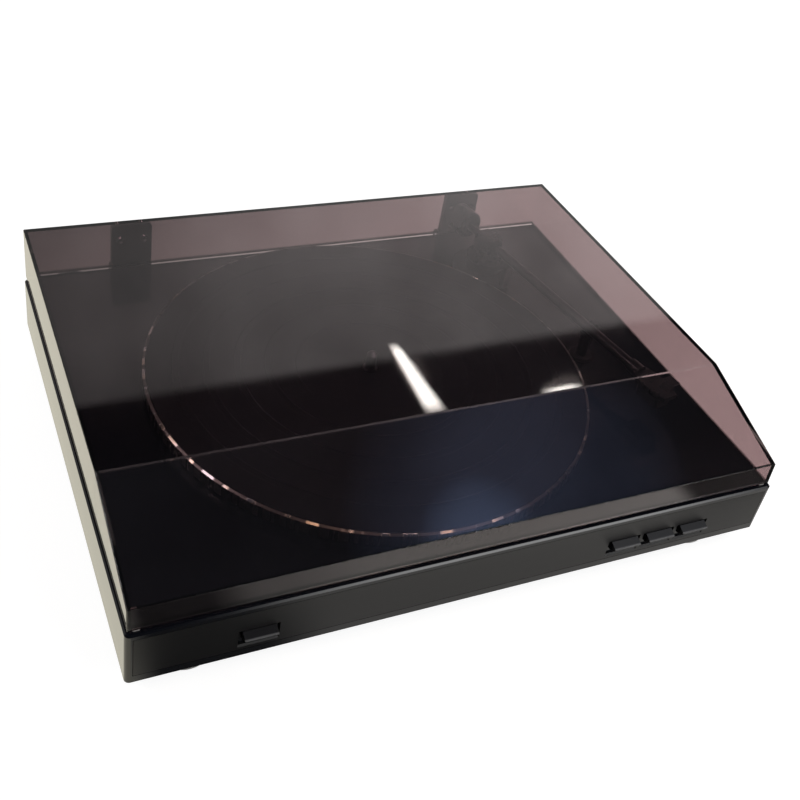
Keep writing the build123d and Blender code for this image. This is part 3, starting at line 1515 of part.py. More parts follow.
# Plug lying on the table at the end of the hank
plug_end = hank_line.wire() @ 1
plug_direction = hank_line.wire() % 1
plug_plane = Plane(plug_end, x_dir=Vector(0, 0, 1).cross(plug_direction), z_dir=plug_direction)
plug_height = 2 * upper_z
with BuildPart() as mains_plug:
    with BuildSketch(plug_plane):
        RectangleRounded(plug_neck_width, plug_neck_height, plug_edge_radius)
    with BuildSketch(plug_plane.offset(plug_length / 2)):
        RectangleRounded(plug_width, plug_height, plug_edge_radius)
    loft()
    with BuildSketch(plug_plane.offset(plug_length / 2)):
        RectangleRounded(plug_width, plug_height, plug_edge_radius)
    extrude(amount=plug_length / 2)
keep(mains_plug, "mains_plug")

with BuildPart() as plug_pins:
    with BuildSketch(plug_plane.offset(plug_length)):
        with Locations((-plug_pin_spacing / 2, 0), (plug_pin_spacing / 2, 0)):
            Circle(plug_pin_radius)
    extrude(amount=plug_pin_length)
keep(plug_pins, "plug_pins")
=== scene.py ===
import json
import math

import bmesh
import bpy
from mathutils import Matrix, Vector


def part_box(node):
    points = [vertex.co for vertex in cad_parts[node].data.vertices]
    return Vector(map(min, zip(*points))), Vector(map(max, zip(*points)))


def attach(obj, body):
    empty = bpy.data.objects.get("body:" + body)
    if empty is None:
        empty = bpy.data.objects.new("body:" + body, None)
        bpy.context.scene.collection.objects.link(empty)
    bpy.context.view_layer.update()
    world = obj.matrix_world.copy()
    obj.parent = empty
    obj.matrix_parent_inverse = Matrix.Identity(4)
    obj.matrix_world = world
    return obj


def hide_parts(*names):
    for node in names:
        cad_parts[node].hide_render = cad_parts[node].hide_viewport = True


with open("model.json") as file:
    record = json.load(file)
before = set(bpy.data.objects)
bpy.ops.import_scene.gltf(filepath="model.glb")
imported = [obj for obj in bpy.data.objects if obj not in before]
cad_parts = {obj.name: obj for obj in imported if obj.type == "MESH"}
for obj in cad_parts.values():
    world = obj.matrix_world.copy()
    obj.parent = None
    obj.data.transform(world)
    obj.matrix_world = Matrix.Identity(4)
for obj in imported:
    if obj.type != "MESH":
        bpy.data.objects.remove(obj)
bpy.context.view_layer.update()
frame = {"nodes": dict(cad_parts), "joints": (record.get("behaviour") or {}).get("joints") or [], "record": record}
nodes = frame["nodes"]
scene = bpy.context.scene
scene.view_settings.view_transform = "Standard"

# Places of the frame's pieces that the finishes and trims follow
joint_places = {joint["name"]: joint.get("pos_m") for joint in frame["joints"]}
spindle_x, spindle_y, _ = joint_places["platter_spin"]
platter_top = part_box("platter")[1].z
rim_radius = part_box("platter")[1].x - spindle_x
cabinet_left, cabinet_front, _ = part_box("cabinet")[0]
cover_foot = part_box("dust_cover")[0].z
crease_from_front = 0.080
cover_crease = cabinet_front + crease_from_front


# Camera at the photograph's place: above the front left corner, slightly rolled
camera_place = (-0.28845, -0.51312, 0.52162)
camera_azimuth, camera_elevation, camera_roll = -0.50787, 0.63718, 0.17901
picture_pixels, focal_pixels = 800.0, 1103.64
camera_data = bpy.data.cameras.new("photo_camera")
camera = bpy.data.objects.new("photo_camera", camera_data)
scene.collection.objects.link(camera)
scene.camera = camera
back = Vector((
    math.sin(camera_azimuth) * math.cos(camera_elevation),
    -math.cos(camera_azimuth) * math.cos(camera_elevation),
    math.sin(camera_elevation),
))
level_right = Vector((0, 0, 1)).cross(back).normalized()
level_up = back.cross(level_right)
right = level_right * math.cos(camera_roll) + level_up * math.sin(camera_roll)
up = level_up * math.cos(camera_roll) - level_right * math.sin(camera_roll)
turn_of_camera = Matrix((right, up, back)).transposed().to_4x4()
camera.matrix_world = Matrix.Translation(camera_place) @ turn_of_camera
camera_data.sensor_width = 36.0
camera_data.lens = focal_pixels * camera_data.sensor_width / picture_pixels
camera_data.shift_x = 0.02005
camera_data.shift_y = -0.08006
camera_data.clip_start = 0.01
camera_data.clip_end = 50.0


# Small makers of node trees
def add(tree, kind, **settings):
    node = tree.nodes.new(kind)
    for name, value in settings.items():
        setattr(node, name, value)
    return node


def put(tree, source, target):
    """Feeds a socket with a node's output, a number, a vector or a colour."""
    if isinstance(source, bpy.types.NodeSocket):
        tree.links.new(source, target)
    elif target.type == "RGBA":
        target.default_value = (*source, 1)
    else:
        target.default_value = source


def work_out(tree, operation, *values):
    """The result of one sum over numbers or nodes' outputs."""
    made = add(tree, "ShaderNodeMath", operation=operation)
    for value, socket in zip(values, made.inputs):
        put(tree, value, socket)
    return made.outputs[0]


def along_axes(tree, where):
    """The X, Y and Z of a place."""
    parts = add(tree, "ShaderNodeSeparateXYZ")
    put(tree, where, parts.inputs[0])
    return parts.outputs


def toward(tree, where, direction):
    """How far a place lies along a direction."""
    made = add(tree, "ShaderNodeVectorMath", operation="DOT_PRODUCT")
    put(tree, where, made.inputs[0])
    put(tree, direction, made.inputs[1])
    return made.outputs["Value"]


def blend_values(tree, factor, low, high):
    mix = add(tree, "ShaderNodeMix", data_type="FLOAT")
    put(tree, factor, mix.inputs[0])
    put(tree, low, mix.inputs[2])
    put(tree, high, mix.inputs[3])
    return mix.outputs[0]


def blend_colours(tree, factor, low, high, blend="MIX"):
    mix = add(tree, "ShaderNodeMix", data_type="RGBA", blend_type=blend)
    put(tree, factor, mix.inputs[0])
    put(tree, low, mix.inputs[6])
    put(tree, high, mix.inputs[7])
    return mix.outputs[2]


def blend_shaders(tree, factor, first, second):
    mix = add(tree, "ShaderNodeMixShader")
    for source, socket in zip((factor, first, second), mix.inputs):
        put(tree, source, socket)
    return mix.outputs[0]


def add_shaders(tree, first, second):
    both = add(tree, "ShaderNodeAddShader")
    put(tree, first, both.inputs[0])
    put(tree, second, both.inputs[1])
    return both.outputs[0]


def spread(tree, factor, low, high, near=0.3, far=0.7):
    """Carries the factor's range from near to far over to low to high."""
    fit = add(tree, "ShaderNodeMapRange")
    put(tree, factor, fit.inputs["Value"])
    put(tree, near, fit.inputs["From Min"])
    put(tree, far, fit.inputs["From Max"])
    put(tree, low, fit.inputs["To Min"])
    put(tree, high, fit.inputs["To Max"])
    return fit.outputs["Result"]


def ramp(tree, factor, stops):
    """A grey ramp with eased steps between (place, brightness) stops."""
    made = add(tree, "ShaderNodeValToRGB")
    made.color_ramp.interpolation = "EASE"
    steps = made.color_ramp.elements
    for step, (spot, _) in zip(steps, (stops[0], stops[-1])):
        step.position = spot
    for spot, _ in stops[1:-1]:
        steps.new(spot)
    for step, (_, grey) in zip(steps, stops):
        step.color = (grey, grey, grey, 1)
    put(tree, factor, made.inputs["Fac"])
    return made.outputs["Color"]


# Effects that several finishes share
FLOAT, VECTOR = "NodeSocketFloat", "NodeSocketVector"


def group(name, inputs, outputs):
    """An empty node group with its two ends; inputs are (name, kind, default)."""
    tree = bpy.data.node_groups.new(name, "ShaderNodeTree")
    for label, kind, default in inputs:
        socket = tree.interface.new_socket(label, in_out="INPUT", socket_type=kind)
        if default is not None:
            socket.default_value = default
    for label, kind in outputs:
        tree.interface.new_socket(label, in_out="OUTPUT", socket_type=kind)
    return tree, tree.nodes.new("NodeGroupInput"), tree.nodes.new("NodeGroupOutput")


def make_moulded_grain():
    """Fine spark texture of a moulding, with slow patches of gloss over it."""
    tree, start, end = group(
        "moulded_grain",
        [("Vector", VECTOR, None), ("Grain", FLOAT, 900.0), ("Patches", FLOAT, 14.0)],
        [("Height", FLOAT), ("Patch", FLOAT)],
    )
    for scale, detail, roughness, result in (
        ("Grain", 3.0, 0.5, "Height"),
        ("Patches", 5.0, 0.6, "Patch"),
    ):
        noise = add(tree, "ShaderNodeTexNoise")
        put(tree, start.outputs["Vector"], noise.inputs["Vector"])
        put(tree, start.outputs[scale], noise.inputs["Scale"])
        put(tree, detail, noise.inputs["Detail"])
        put(tree, roughness, noise.inputs["Roughness"])
        put(tree, noise.outputs["Fac"], end.inputs[result])
    return tree


def make_turned_rings():
    """Rings round a vertical axis, as a lathe or a mould leaves them, and spokes across them."""
    tree, start, end = group(
        "turned_rings",
        [("Vector", VECTOR, None), ("Rings", FLOAT, 700.0), ("Spokes", FLOAT, 90.0)],
        [("Height", FLOAT), ("Spoke", FLOAT)],
    )
    axes = along_axes(tree, start.outputs["Vector"])
    flat = add(tree, "ShaderNodeCombineXYZ")
    put(tree, axes["X"], flat.inputs["X"])
    put(tree, axes["Y"], flat.inputs["Y"])
    radius = add(tree, "ShaderNodeVectorMath", operation="LENGTH")
    put(tree, flat.outputs[0], radius.inputs[0])
    angle = work_out(tree, "ARCTAN2", axes["Y"], axes["X"])
    for along, scale, detail, result in (
        (radius.outputs["Value"], "Rings", 2.0, "Height"),
        (angle, "Spokes", 1.0, "Spoke"),
    ):
        noise = add(tree, "ShaderNodeTexNoise", noise_dimensions="1D")
        put(tree, along, noise.inputs["W"])
        put(tree, start.outputs[scale], noise.inputs["Scale"])
        put(tree, detail, noise.inputs["Detail"])
        put(tree, noise.outputs["Fac"], end.inputs[result])
    return tree


moulded_grain = make_moulded_grain()
turned_rings = make_turned_rings()


# Finishes
relief_depth = 0.0002


def material(name):
    made = bpy.data.materials.new(name)
    made.use_nodes = True
    tree = made.node_tree
    return made, tree, tree.nodes["Principled BSDF"], tree.nodes["Material Output"]


def place(tree, scale=(1, 1, 1), location=(0, 0, 0)):
    """Object coordinates through a mapping."""
    where = add(tree, "ShaderNodeTexCoord")
    mapping = add(tree, "ShaderNodeMapping")
    put(tree, where.outputs["Object"], mapping.inputs["Vector"])
    put(tree, scale, mapping.inputs["Scale"])
    put(tree, location, mapping.inputs["Location"])
    return mapping.outputs["Vector"]


def about_spindle(tree):
    return place(tree, location=(-spindle_x, -spindle_y, 0))


def pattern(tree, effect, where, **values):
    """A shared effect laid over a place, with its own values."""
    layer = add(tree, "ShaderNodeGroup", node_tree=effect)
    put(tree, where, layer.inputs["Vector"])
    for name, value in values.items():
        put(tree, value, layer.inputs[name])
    return layer.outputs


def bump(tree, height, shader, strength):
    relief = add(tree, "ShaderNodeBump")
    put(tree, strength, relief.inputs["Strength"])
    put(tree, relief_depth, relief.inputs["Distance"])
    put(tree, height, relief.inputs["Height"])
    put(tree, relief.outputs["Normal"], shader.inputs["Normal"])


def moulded(name, low, high, gloss, grain=900.0, patches=14.0, relief=0.15, stretch=(1, 1, 1), **sockets):
    """A moulded, painted or plated finish: two close colours, a gloss range and a grain."""
    made, tree, shader, _ = material(name)
    layer = pattern(tree, moulded_grain, place(tree, stretch), Grain=grain, Patches=patches)
    put(tree, blend_colours(tree, layer["Patch"], low, high), shader.inputs["Base Color"])
    put(tree, spread(tree, layer["Patch"], *gloss), shader.inputs["Roughness"])
    bump(tree, layer["Height"], shader, relief)
    for socket, value in sockets.items():
        put(tree, value, shader.inputs[socket.replace("_", " ")])
    return made


def turned(name, low, high, gloss, rings=700.0, spokes=90.0, relief=0.2, metallic=0.0):
    """A finish with rings about the spindle."""
    made, tree, shader, _ = material(name)
    layer = pattern(tree, turned_rings, about_spindle(tree), Rings=rings, Spokes=spokes)
    spoke = spread(tree, layer["Spoke"], 0.0, 1.0)
    put(tree, blend_colours(tree, spoke, low, high), shader.inputs["Base Color"])
    put(tree, spread(tree, spoke, *gloss, 0.0, 1.0), shader.inputs["Roughness"])
    put(tree, metallic, shader.inputs["Metallic"])
    bump(tree, layer["Height"], shader, relief)
    return made


def platter_alloy():
    """Cast platter: a bright turned ring on top with painted glints along it, near-black below it."""
    made, tree, shader, _ = material("platter_alloy")
    where = about_spindle(tree)
    layer = pattern(tree, turned_rings, where, Rings=900.0, Spokes=26.0)
    dark_wall_edge = platter_top - 0.0008
    bright = spread(tree, along_axes(tree, where)["Z"], 0.0, 1.0, dark_wall_edge, dark_wall_edge + 0.0002)
    # Painted glints: the ring's metal brightens and dims around the spindle
    glinting_metal = blend_colours(tree, layer["Spoke"], (0.3, 0.3, 0.32), (1.0, 0.99, 0.97))
    put(tree, blend_colours(tree, bright, (0.012, 0.012, 0.013), glinting_metal), shader.inputs["Base Color"])
    put(tree, bright, shader.inputs["Metallic"])
    put(tree, spread(tree, layer["Spoke"], 0.42, 0.14), shader.inputs["Roughness"])
    bump(tree, layer["Height"], shader, 0.12)
    return made


def rim_alloy():
    """Bevelled rim of the platter: painted glints, warm and cool, as short bright facets in the base colour on a
    duller ring.
    """
    made, tree, shader, _ = material("rim_alloy")
    where = about_spindle(tree)
    facets = pattern(tree, turned_rings, where, Rings=2500.0, Spokes=13.0)
    hues = pattern(tree, turned_rings, where, Rings=2500.0, Spokes=7.0)
    # Painted glints: short stretches of the rim's colour go bright, warm or cool, where lamps would flash in it
    painted_glint = spread(tree, facets["Spoke"], 0.0, 1.0, 0.52, 0.6)
    glint_hue = spread(tree, hues["Spoke"], 0.0, 1.0, 0.42, 0.58)
    bright = blend_colours(tree, glint_hue, (1.0, 0.94, 0.74), (0.90, 1.0, 1.0))
    put(tree, blend_colours(tree, painted_glint, (0.20, 0.19, 0.18), bright), shader.inputs["Base Color"])
    put(tree, spread(tree, painted_glint, 0.36, 0.10, 0.0, 1.0), shader.inputs["Roughness"])
    put(tree, 1.0, shader.inputs["Metallic"])
    bump(tree, facets["Height"], shader, 0.02)
    return made


def smoked_acrylic():
    """Smoked acrylic, with painted shade at its sawn rim, hazed along its crease, with faint wiping marks."""
    made, tree, shader, end = material("smoked_acrylic")
    axes = along_axes(tree, place(tree))
    # Painted shade: the base colour goes near-black along the bottom rim of the walls
    clear_of_rim_shade = spread(tree, axes["Z"], 0.0, 1.0, cover_foot + 0.0008, cover_foot + 0.0020)
    tint = blend_colours(tree, clear_of_rim_shade, (0.03, 0.02, 0.02), (0.575, 0.472, 0.485))
    put(tree, tint, shader.inputs["Base Color"])
    put(tree, 1.0, shader.inputs["Transmission Weight"])
    put(tree, 1.49, shader.inputs["IOR"])
    wiping = pattern(tree, moulded_grain, place(tree, (1, 3, 1)), Grain=60.0, Patches=9.0)
    on_crease = work_out(tree, "COMPARE", axes["Y"], cover_crease, 0.00025)
    polish = spread(tree, wiping["Patch"], 0.0, 0.04)
    put(tree, work_out(tree, "MULTIPLY_ADD", on_crease, 0.18, polish), shader.inputs["Roughness"])
    bump(tree, wiping["Height"], shader, 0.01)
    # Lamps shine through it with its tint
    through = add(tree, "ShaderNodeBsdfTransparent")
    put(tree, (0.52, 0.43, 0.44), through.inputs["Color"])
    in_shadow = add(tree, "ShaderNodeLightPath").outputs["Is Shadow Ray"]
    both = blend_shaders(tree, in_shadow, shader.outputs[0], through.outputs[0])
    put(tree, both, end.inputs["Surface"])
    return made


def paint_key_edge_highlight(made, key):
    """A painted highlight: a paler line in the keys' base colour along their front edge."""
    tree = made.node_tree
    colour = tree.nodes["Principled BSDF"].inputs["Base Color"]
    low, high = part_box(key)
    front, brink = low.y, high.z - 0.0042
    axes = along_axes(tree, place(tree))
    in_front = spread(tree, axes["Y"], 1.0, 0.0, front + 0.0005, front + 0.0011)
    on_edge = spread(tree, axes["Z"], 0.0, 1.0, brink - 0.0006, brink - 0.0003)
    # Painted highlight where light would catch the keys' rounded front edge
    painted_highlight = work_out(tree, "MULTIPLY", in_front, on_edge)
    put(tree, blend_colours(tree, painted_highlight, colour.links[0].from_socket, (0.15, 0.15, 0.155)), colour)


finishes = {
    "cabinet_black": moulded(
        "cabinet_black", (0.004, 0.005, 0.008), (0.006, 0.007, 0.011), (0.07, 0.12), relief=0.0002
    ),
    "panel_black": moulded(
        "panel_black", (0.010, 0.010, 0.011), (0.015, 0.015, 0.016), (0.34, 0.44),
        grain=700.0, stretch=(0.05, 1, 1), relief=0.1, Specular_IOR_Level=0.4,
    ),
    "inner_black": moulded(
        "inner_black", (0.012, 0.012, 0.013), (0.02, 0.02, 0.021), (0.4, 0.55), relief=0.2
    ),
    "rubber_black": moulded(
        "rubber_black", (0.011, 0.011, 0.012), (0.018, 0.018, 0.019), (0.6, 0.75), relief=0.3
    ),
    "smoked_acrylic": smoked_acrylic(),
    "clear_pad": moulded("clear_pad", (0.62, 0.6, 0.57), (0.72, 0.7, 0.67), (0.3, 0.4), relief=0.05),
    "steel": moulded(
        "steel", (0.5, 0.5, 0.51), (0.58, 0.58, 0.59), (0.25, 0.36), relief=0.1, Metallic=1.0
    ),
    "alloy": turned(
        "alloy", (0.62, 0.62, 0.64), (0.82, 0.82, 0.83), (0.16, 0.3), relief=0.3, metallic=1.0
    ),
    "key_black": moulded(
        "key_black", (0.012, 0.012, 0.014), (0.02, 0.02, 0.022), (0.14, 0.22),
        relief=0.04, Specular_IOR_Level=0.32,
    ),
    "brass": moulded(
        "brass", (0.6, 0.45, 0.2), (0.7, 0.55, 0.28), (0.25, 0.35), relief=0.1, Metallic=1.0
    ),
    "board_green": moulded(
        "board_green", (0.03, 0.12, 0.05), (0.05, 0.17, 0.07), (0.35, 0.5), relief=0.1
    ),
    "core_steel": moulded(
        "core_steel", (0.12, 0.1, 0.09), (0.17, 0.15, 0.13), (0.4, 0.55), relief=0.2
    ),
    "nickel": moulded(
        "nickel", (0.6, 0.59, 0.56), (0.7, 0.69, 0.66), (0.12, 0.22), relief=0.05, Metallic=1.0
    ),
    "cord_black": moulded(
        "cord_black", (0.012, 0.012, 0.012), (0.02, 0.02, 0.02), (0.42, 0.55), relief=0.15
    ),
}
paint_key_edge_highlight(finishes["key_black"], "speed_key")
mat_rubber = turned(
    "mat_rubber", (0.003, 0.004, 0.007), (0.005, 0.006, 0.010), (0.5, 0.62), rings=900.0, relief=0.04
)
# Painted shade: the spindle's steel gets a dark colour so it stays dim under the cover
dimmed_spindle_steel = moulded(
    "dimmed_spindle_steel", (0.12, 0.12, 0.13), (0.18, 0.18, 0.19), (0.32, 0.42), relief=0.05, Metallic=1.0
)
foot_trim = moulded("foot_trim", (0.66, 0.65, 0.62), (0.76, 0.75, 0.72), (0.3, 0.4), relief=0.03)
arm_black = moulded("arm_black", (0.010, 0.010, 0.011), (0.016, 0.016, 0.017), (0.24, 0.34), relief=0.04)

slot_of = {entry["node"]: entry["material_slot"] for entry in frame["record"]["subparts"]}
for node_name, node in nodes.items():
    node.data.materials.clear()
    node.data.materials.append(finishes[slot_of[node_name]])
nodes["platter_mat"].data.materials[0] = mat_rubber
nodes["spindle"].data.materials[0] = dimmed_spindle_steel
nodes["platter"].data.materials[0] = platter_alloy()
for node_name in ("arm_tube", "headshell", "counterweight", "arm_yoke", "arm_pivot_block"):
    nodes[node_name].data.materials[0] = arm_black


# Mains lead and hank: one smooth spline over the route of the cord
lead_route = [
    (-0.18200, 0.17850, 0.02550),
    (-0.18200, 0.19082, 0.02550),
    (-0.17578, 0.20180, 0.02250),
    (-0.16497, 0.20751, 0.01626),
    (-0.14528, 0.20846, 0.00910),
    (-0.12080, 0.20762, 0.00425),
    (-0.09836, 0.20650, 0.00240),
]
cord_radius = 0.0023
hank_left, hank_right = -0.080, 0.010
hank_low, hank_high = lead_route[-1][2], 0.0075
hank_inner_radius, strand_step = 0.014, 0.00255
hank_strands = (3, 2, 1, 0, 0, 1, 2, 3)
half_corner = math.radians(22.5)

# Each half turn is drawn by four corners, and the spline rounds them off
cord_route = list(lead_route)
side_y = lead_route[-1][1]
for turn, strand in enumerate(hank_strands):
    radius = hank_inner_radius + strand * strand_step
    sign = 1 if turn % 2 == 0 else -1
    middle_x = hank_right if sign == 1 else hank_left
    middle_y = side_y - sign * radius
    height = hank_low if turn < len(hank_strands) / 2 else hank_high
    straight_x = middle_x - sign * radius * math.tan(half_corner)
    reach = radius / math.cos(half_corner)
    cord_route.append((straight_x, side_y, height))
    for step in (3, 1, -1, -3):
        angle = step * half_corner
        cord_route.append((
            middle_x + sign * reach * math.cos(angle),
            middle_y + sign * reach * math.sin(angle),
            height,
        ))
    side_y -= sign * 2 * radius
    cord_route.append((straight_x, side_y, height))
plug_route = [(0.02665, side_y, hank_high), (0.04736, side_y, hank_high), (0.05822, 0.19564, hank_high)]
cord_route += plug_route

cord_curve = bpy.data.curves.new("mains_cord", "CURVE")
cord_curve.dimensions = "3D"
cord_curve.bevel_depth = cord_radius
cord_curve.bevel_resolution = 5
cord_curve.resolution_u = 6
cord_curve.use_fill_caps = True
cord_line = cord_curve.splines.new("NURBS")
cord_line.points.add(len(cord_route) - 1)
for point, spot in zip(cord_line.points, cord_route):
    point.co = (*spot, 1)
cord_line.order_u = 3
cord_line.use_endpoint_u = True
mains_cord = bpy.data.objects.new("mains_cord", cord_curve)
scene.collection.objects.link(mains_cord)
cord_curve.materials.append(finishes["cord_black"])
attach(mains_cord, "base")
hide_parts("mains_lead", "mains_hank")


# Small turned and pressed pieces
def spun(shape, profile, centre, steps, along=(0, 0, 1)):
    """A closed (radius, height) profile turned once about the line along, through centre."""
    corners = []
    for radius, height in profile:
        corners.append(shape.verts.new(Vector(centre) + Vector((radius, 0, 0)) + Vector(along) * height))
    edges = [shape.edges.new(pair) for pair in zip(corners, corners[1:] + corners[:1])]
    bmesh.ops.spin(
        shape, geom=corners + edges, cent=centre, axis=along, angle=2 * math.pi, steps=steps, use_merge=True
    )


def band(inner, outer, bottom, top):
    """The profile of a plain ring."""
    return [(inner, bottom), (outer, bottom), (outer, top), (inner, top)]


def head_centres(node, axis, outward):
    """Centres of the flat head faces that a set of screws shows on one side."""
    flatness, widest_head = 0.0001, 0.008
    spots = [vertex.co for vertex in nodes[node].data.vertices]
    face = max(spot[axis] * outward for spot in spots)
    groups = []
    for spot in spots:
        if spot[axis] * outward < face - flatness:
            continue
        for members in groups:
            if (members[0] - spot).length < widest_head:
                members.append(spot)
                break
        else:
            groups.append([spot])
    return [sum(members, Vector()) / len(members) for members in groups]


def cross_recess(shape, centre, axis):
    """Two thin crossed bars on a screw head, lying across the given axis."""
    bar_width, bar_length, bar_depth = 0.0006, 0.0030, 0.00012
    for crosswise in (1, 2):
        size = [bar_width, bar_width, bar_width]
        size[axis] = bar_depth
        size[(axis + crosswise) % 3] = bar_length
        bar = Matrix.Translation(centre) @ Matrix.Diagonal((*size, 1))
        bmesh.ops.create_cube(shape, size=1, matrix=bar)


def piece(name, shape, finish, body):
    """A finished trim on its body, merged and facing outwards."""
    bmesh.ops.remove_doubles(shape, verts=shape.verts[:], dist=1e-7)
    bmesh.ops.recalc_face_normals(shape, faces=shape.faces[:])
    mesh = bpy.data.meshes.new(name)
    shape.to_mesh(mesh)
    shape.free()
    mesh.shade_smooth()
    mesh.set_sharp_from_angle(angle=math.radians(35))
    mesh.materials.append(finish)
    made = bpy.data.objects.new(name, mesh)
    scene.collection.objects.link(made)
    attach(made, body)


# Bright bevelled edge of the platter's rim
shape = bmesh.new()
bevel = [
    (rim_radius - 0.0018, platter_top - 0.00020),
    (rim_radius - 0.0017, platter_top + 0.00052),
    (rim_radius - 0.0014, platter_top + 0.00055),
    (rim_radius - 0.0002, platter_top - 0.00014),
    (rim_radius - 0.0001, platter_top - 0.00020),
]
spun(shape, bevel, (spindle_x, spindle_y, 0), 360)
piece("platter_rim_bevel", shape, rim_alloy(), "turntable")

# Bright rings round the feet, just above their soles
shape = bmesh.new()
for foot in ("foot_front_left", "foot_front_right", "foot_rear_left", "foot_rear_right"):
    low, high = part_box(foot)
    foot_radius = (high.x - low.x) / 2
    ring = band(foot_radius - 0.0002, foot_radius + 0.00015, low.z + 0.0001, low.z + 0.0014)
    spun(shape, ring, ((low.x + high.x) / 2, (low.y + high.y) / 2, 0), 64)
piece("foot_rings", shape, foot_trim, "base")

# Crossed recesses of the screws that show, drawn as dark bars of painted shade
painted_recess_shade = moulded("painted_recess_shade", (0.008, 0.008, 0.008), (0.014, 0.014, 0.014), (0.5, 0.6), relief=0.05)
for screws, axis, outward, body in (
    ("hinge_arm_screws", 1, 1, "cover"),
    ("hinge_bracket_screws", 1, 1, "base"),
    ("bottom_cover_screws", 2, -1, "base"),
):
    shape = bmesh.new()
    for centre in head_centres(screws, axis, outward):
        cross_recess(shape, centre, axis)
    piece(screws.replace("screws", "recesses"), shape, painted_recess_shade, body)

# Coloured inserts of the two phono sockets
socket_radius, socket_pitch = 0.006, 0.016
low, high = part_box("phono_sockets")
socket_x, socket_z = low.x + socket_radius, (low.z + high.z) / 2
for name, pale, deep in (
    ("phono_insert_white", (0.75, 0.74, 0.70), (0.82, 0.81, 0.77)),
    ("phono_insert_red", (0.42, 0.02, 0.02), (0.5, 0.03, 0.03)),
):
    shape = bmesh.new()
    spun(shape, band(0.0018, 0.0036, -0.0003, 0.0002), (socket_x, high.y, socket_z), 40, (0, 1, 0))
    piece(name, shape, moulded(name, pale, deep, (0.3, 0.4), relief=0.03), "base")
    socket_x += socket_pitch


# Floor
def stage_sheet(name, finish, segments, size, matrix):
    """A flat sheet of the stage, which is no part of the player."""
    shape = bmesh.new()
    bmesh.ops.create_grid(shape, x_segments=segments, y_segments=segments, size=size, matrix=matrix)
    mesh = bpy.data.meshes.new(name)
    shape.to_mesh(mesh)
    shape.free()
    mesh.materials.append(finish)
    made = bpy.data.objects.new(name, mesh)
    scene.collection.objects.link(made)
    return made


def mirrored_floor(tree, axes):
    """How bright polished pieces mirror the floor: near the player in the panel, farther out in the lip."""
    across = spread(tree, axes["X"], 0.0, 1.0, -0.30, 0.60)
    in_panel = ramp(tree, across, [
        (0.10, 0.95), (0.127, 0.03), (0.187, 0.04), (0.247, 0.58), (0.53, 0.6), (0.62, 0.8),
    ])
    in_lip = ramp(tree, across, [
        (0.10, 0.95), (0.127, 0.03), (0.167, 0.04), (0.211, 0.5), (0.30, 0.85),
        (0.544, 0.92), (0.569, 0.05), (0.655, 0.05), (0.73, 0.6),
    ])
    return blend_values(tree, spread(tree, axes["Y"], 0.0, 1.0, -0.215, -0.20), in_lip, in_panel)


def floor_through_cover(tree, where, axes, mirrored):
    """How bright the floor shows through the cover: paler to the right, and as mirrored in front."""
    paler = spread(tree, toward(tree, where, (1.0, -0.8, 0.0)), 0.12, 0.98, -0.4, 0.3)
    in_front = spread(tree, axes["Y"], 1.0, 0.0, -0.19, -0.165)
    return blend_values(tree, in_front, paler, mirrored)


def pale_floor():
    """White to the eye, shaded where pieces mirror it or let it through, and clear from below."""
    made, tree, shader, end = material("pale_floor")
    where = place(tree)
    axes = along_axes(tree, where)
    ray = add(tree, "ShaderNodeLightPath").outputs
    layer = pattern(tree, moulded_grain, where, Grain=300.0, Patches=3.0)
    paint = blend_colours(tree, layer["Patch"], (0.29, 0.29, 0.29), (0.32, 0.32, 0.32))
    indirect = work_out(tree, "MAXIMUM", ray["Is Glossy Ray"], ray["Is Transmission Ray"])
    put(tree, blend_colours(tree, indirect, paint, (0.02, 0.02, 0.02)), shader.inputs["Base Color"])
    put(tree, 0.6, shader.inputs["Roughness"])
    mirrored = mirrored_floor(tree, axes)
    through = floor_through_cover(tree, where, axes, mirrored)
    seen = work_out(tree, "MULTIPLY", ray["Is Camera Ray"], 0.9)
    shine = blend_values(tree, ray["Is Glossy Ray"], seen, mirrored)
    shine = blend_values(tree, ray["Is Transmission Ray"], shine, through)
    beside = spread(tree, axes["X"], 1.0, 0.0, cabinet_left + 0.002, cabinet_left + 0.020)
    warm = blend_colours(tree, beside, (1, 0.97, 0.92), (1, 0.955, 0.79))
    glow = add(tree, "ShaderNodeEmission")
    put(tree, blend_colours(tree, ray["Is Glossy Ray"], (1, 1, 1), warm), glow.inputs["Color"])
    put(tree, shine, glow.inputs["Strength"])
    upper = add_shaders(tree, shader.outputs[0], glow.outputs[0])
    below = add(tree, "ShaderNodeNewGeometry").outputs["Backfacing"]
    clear = add(tree, "ShaderNodeBsdfTransparent")
    put(tree, blend_shaders(tree, below, upper, clear.outputs[0]), end.inputs["Surface"])
    return made


stage_sheet("studio_floor", pale_floor(), 2, 6.0, Matrix.Identity(4))


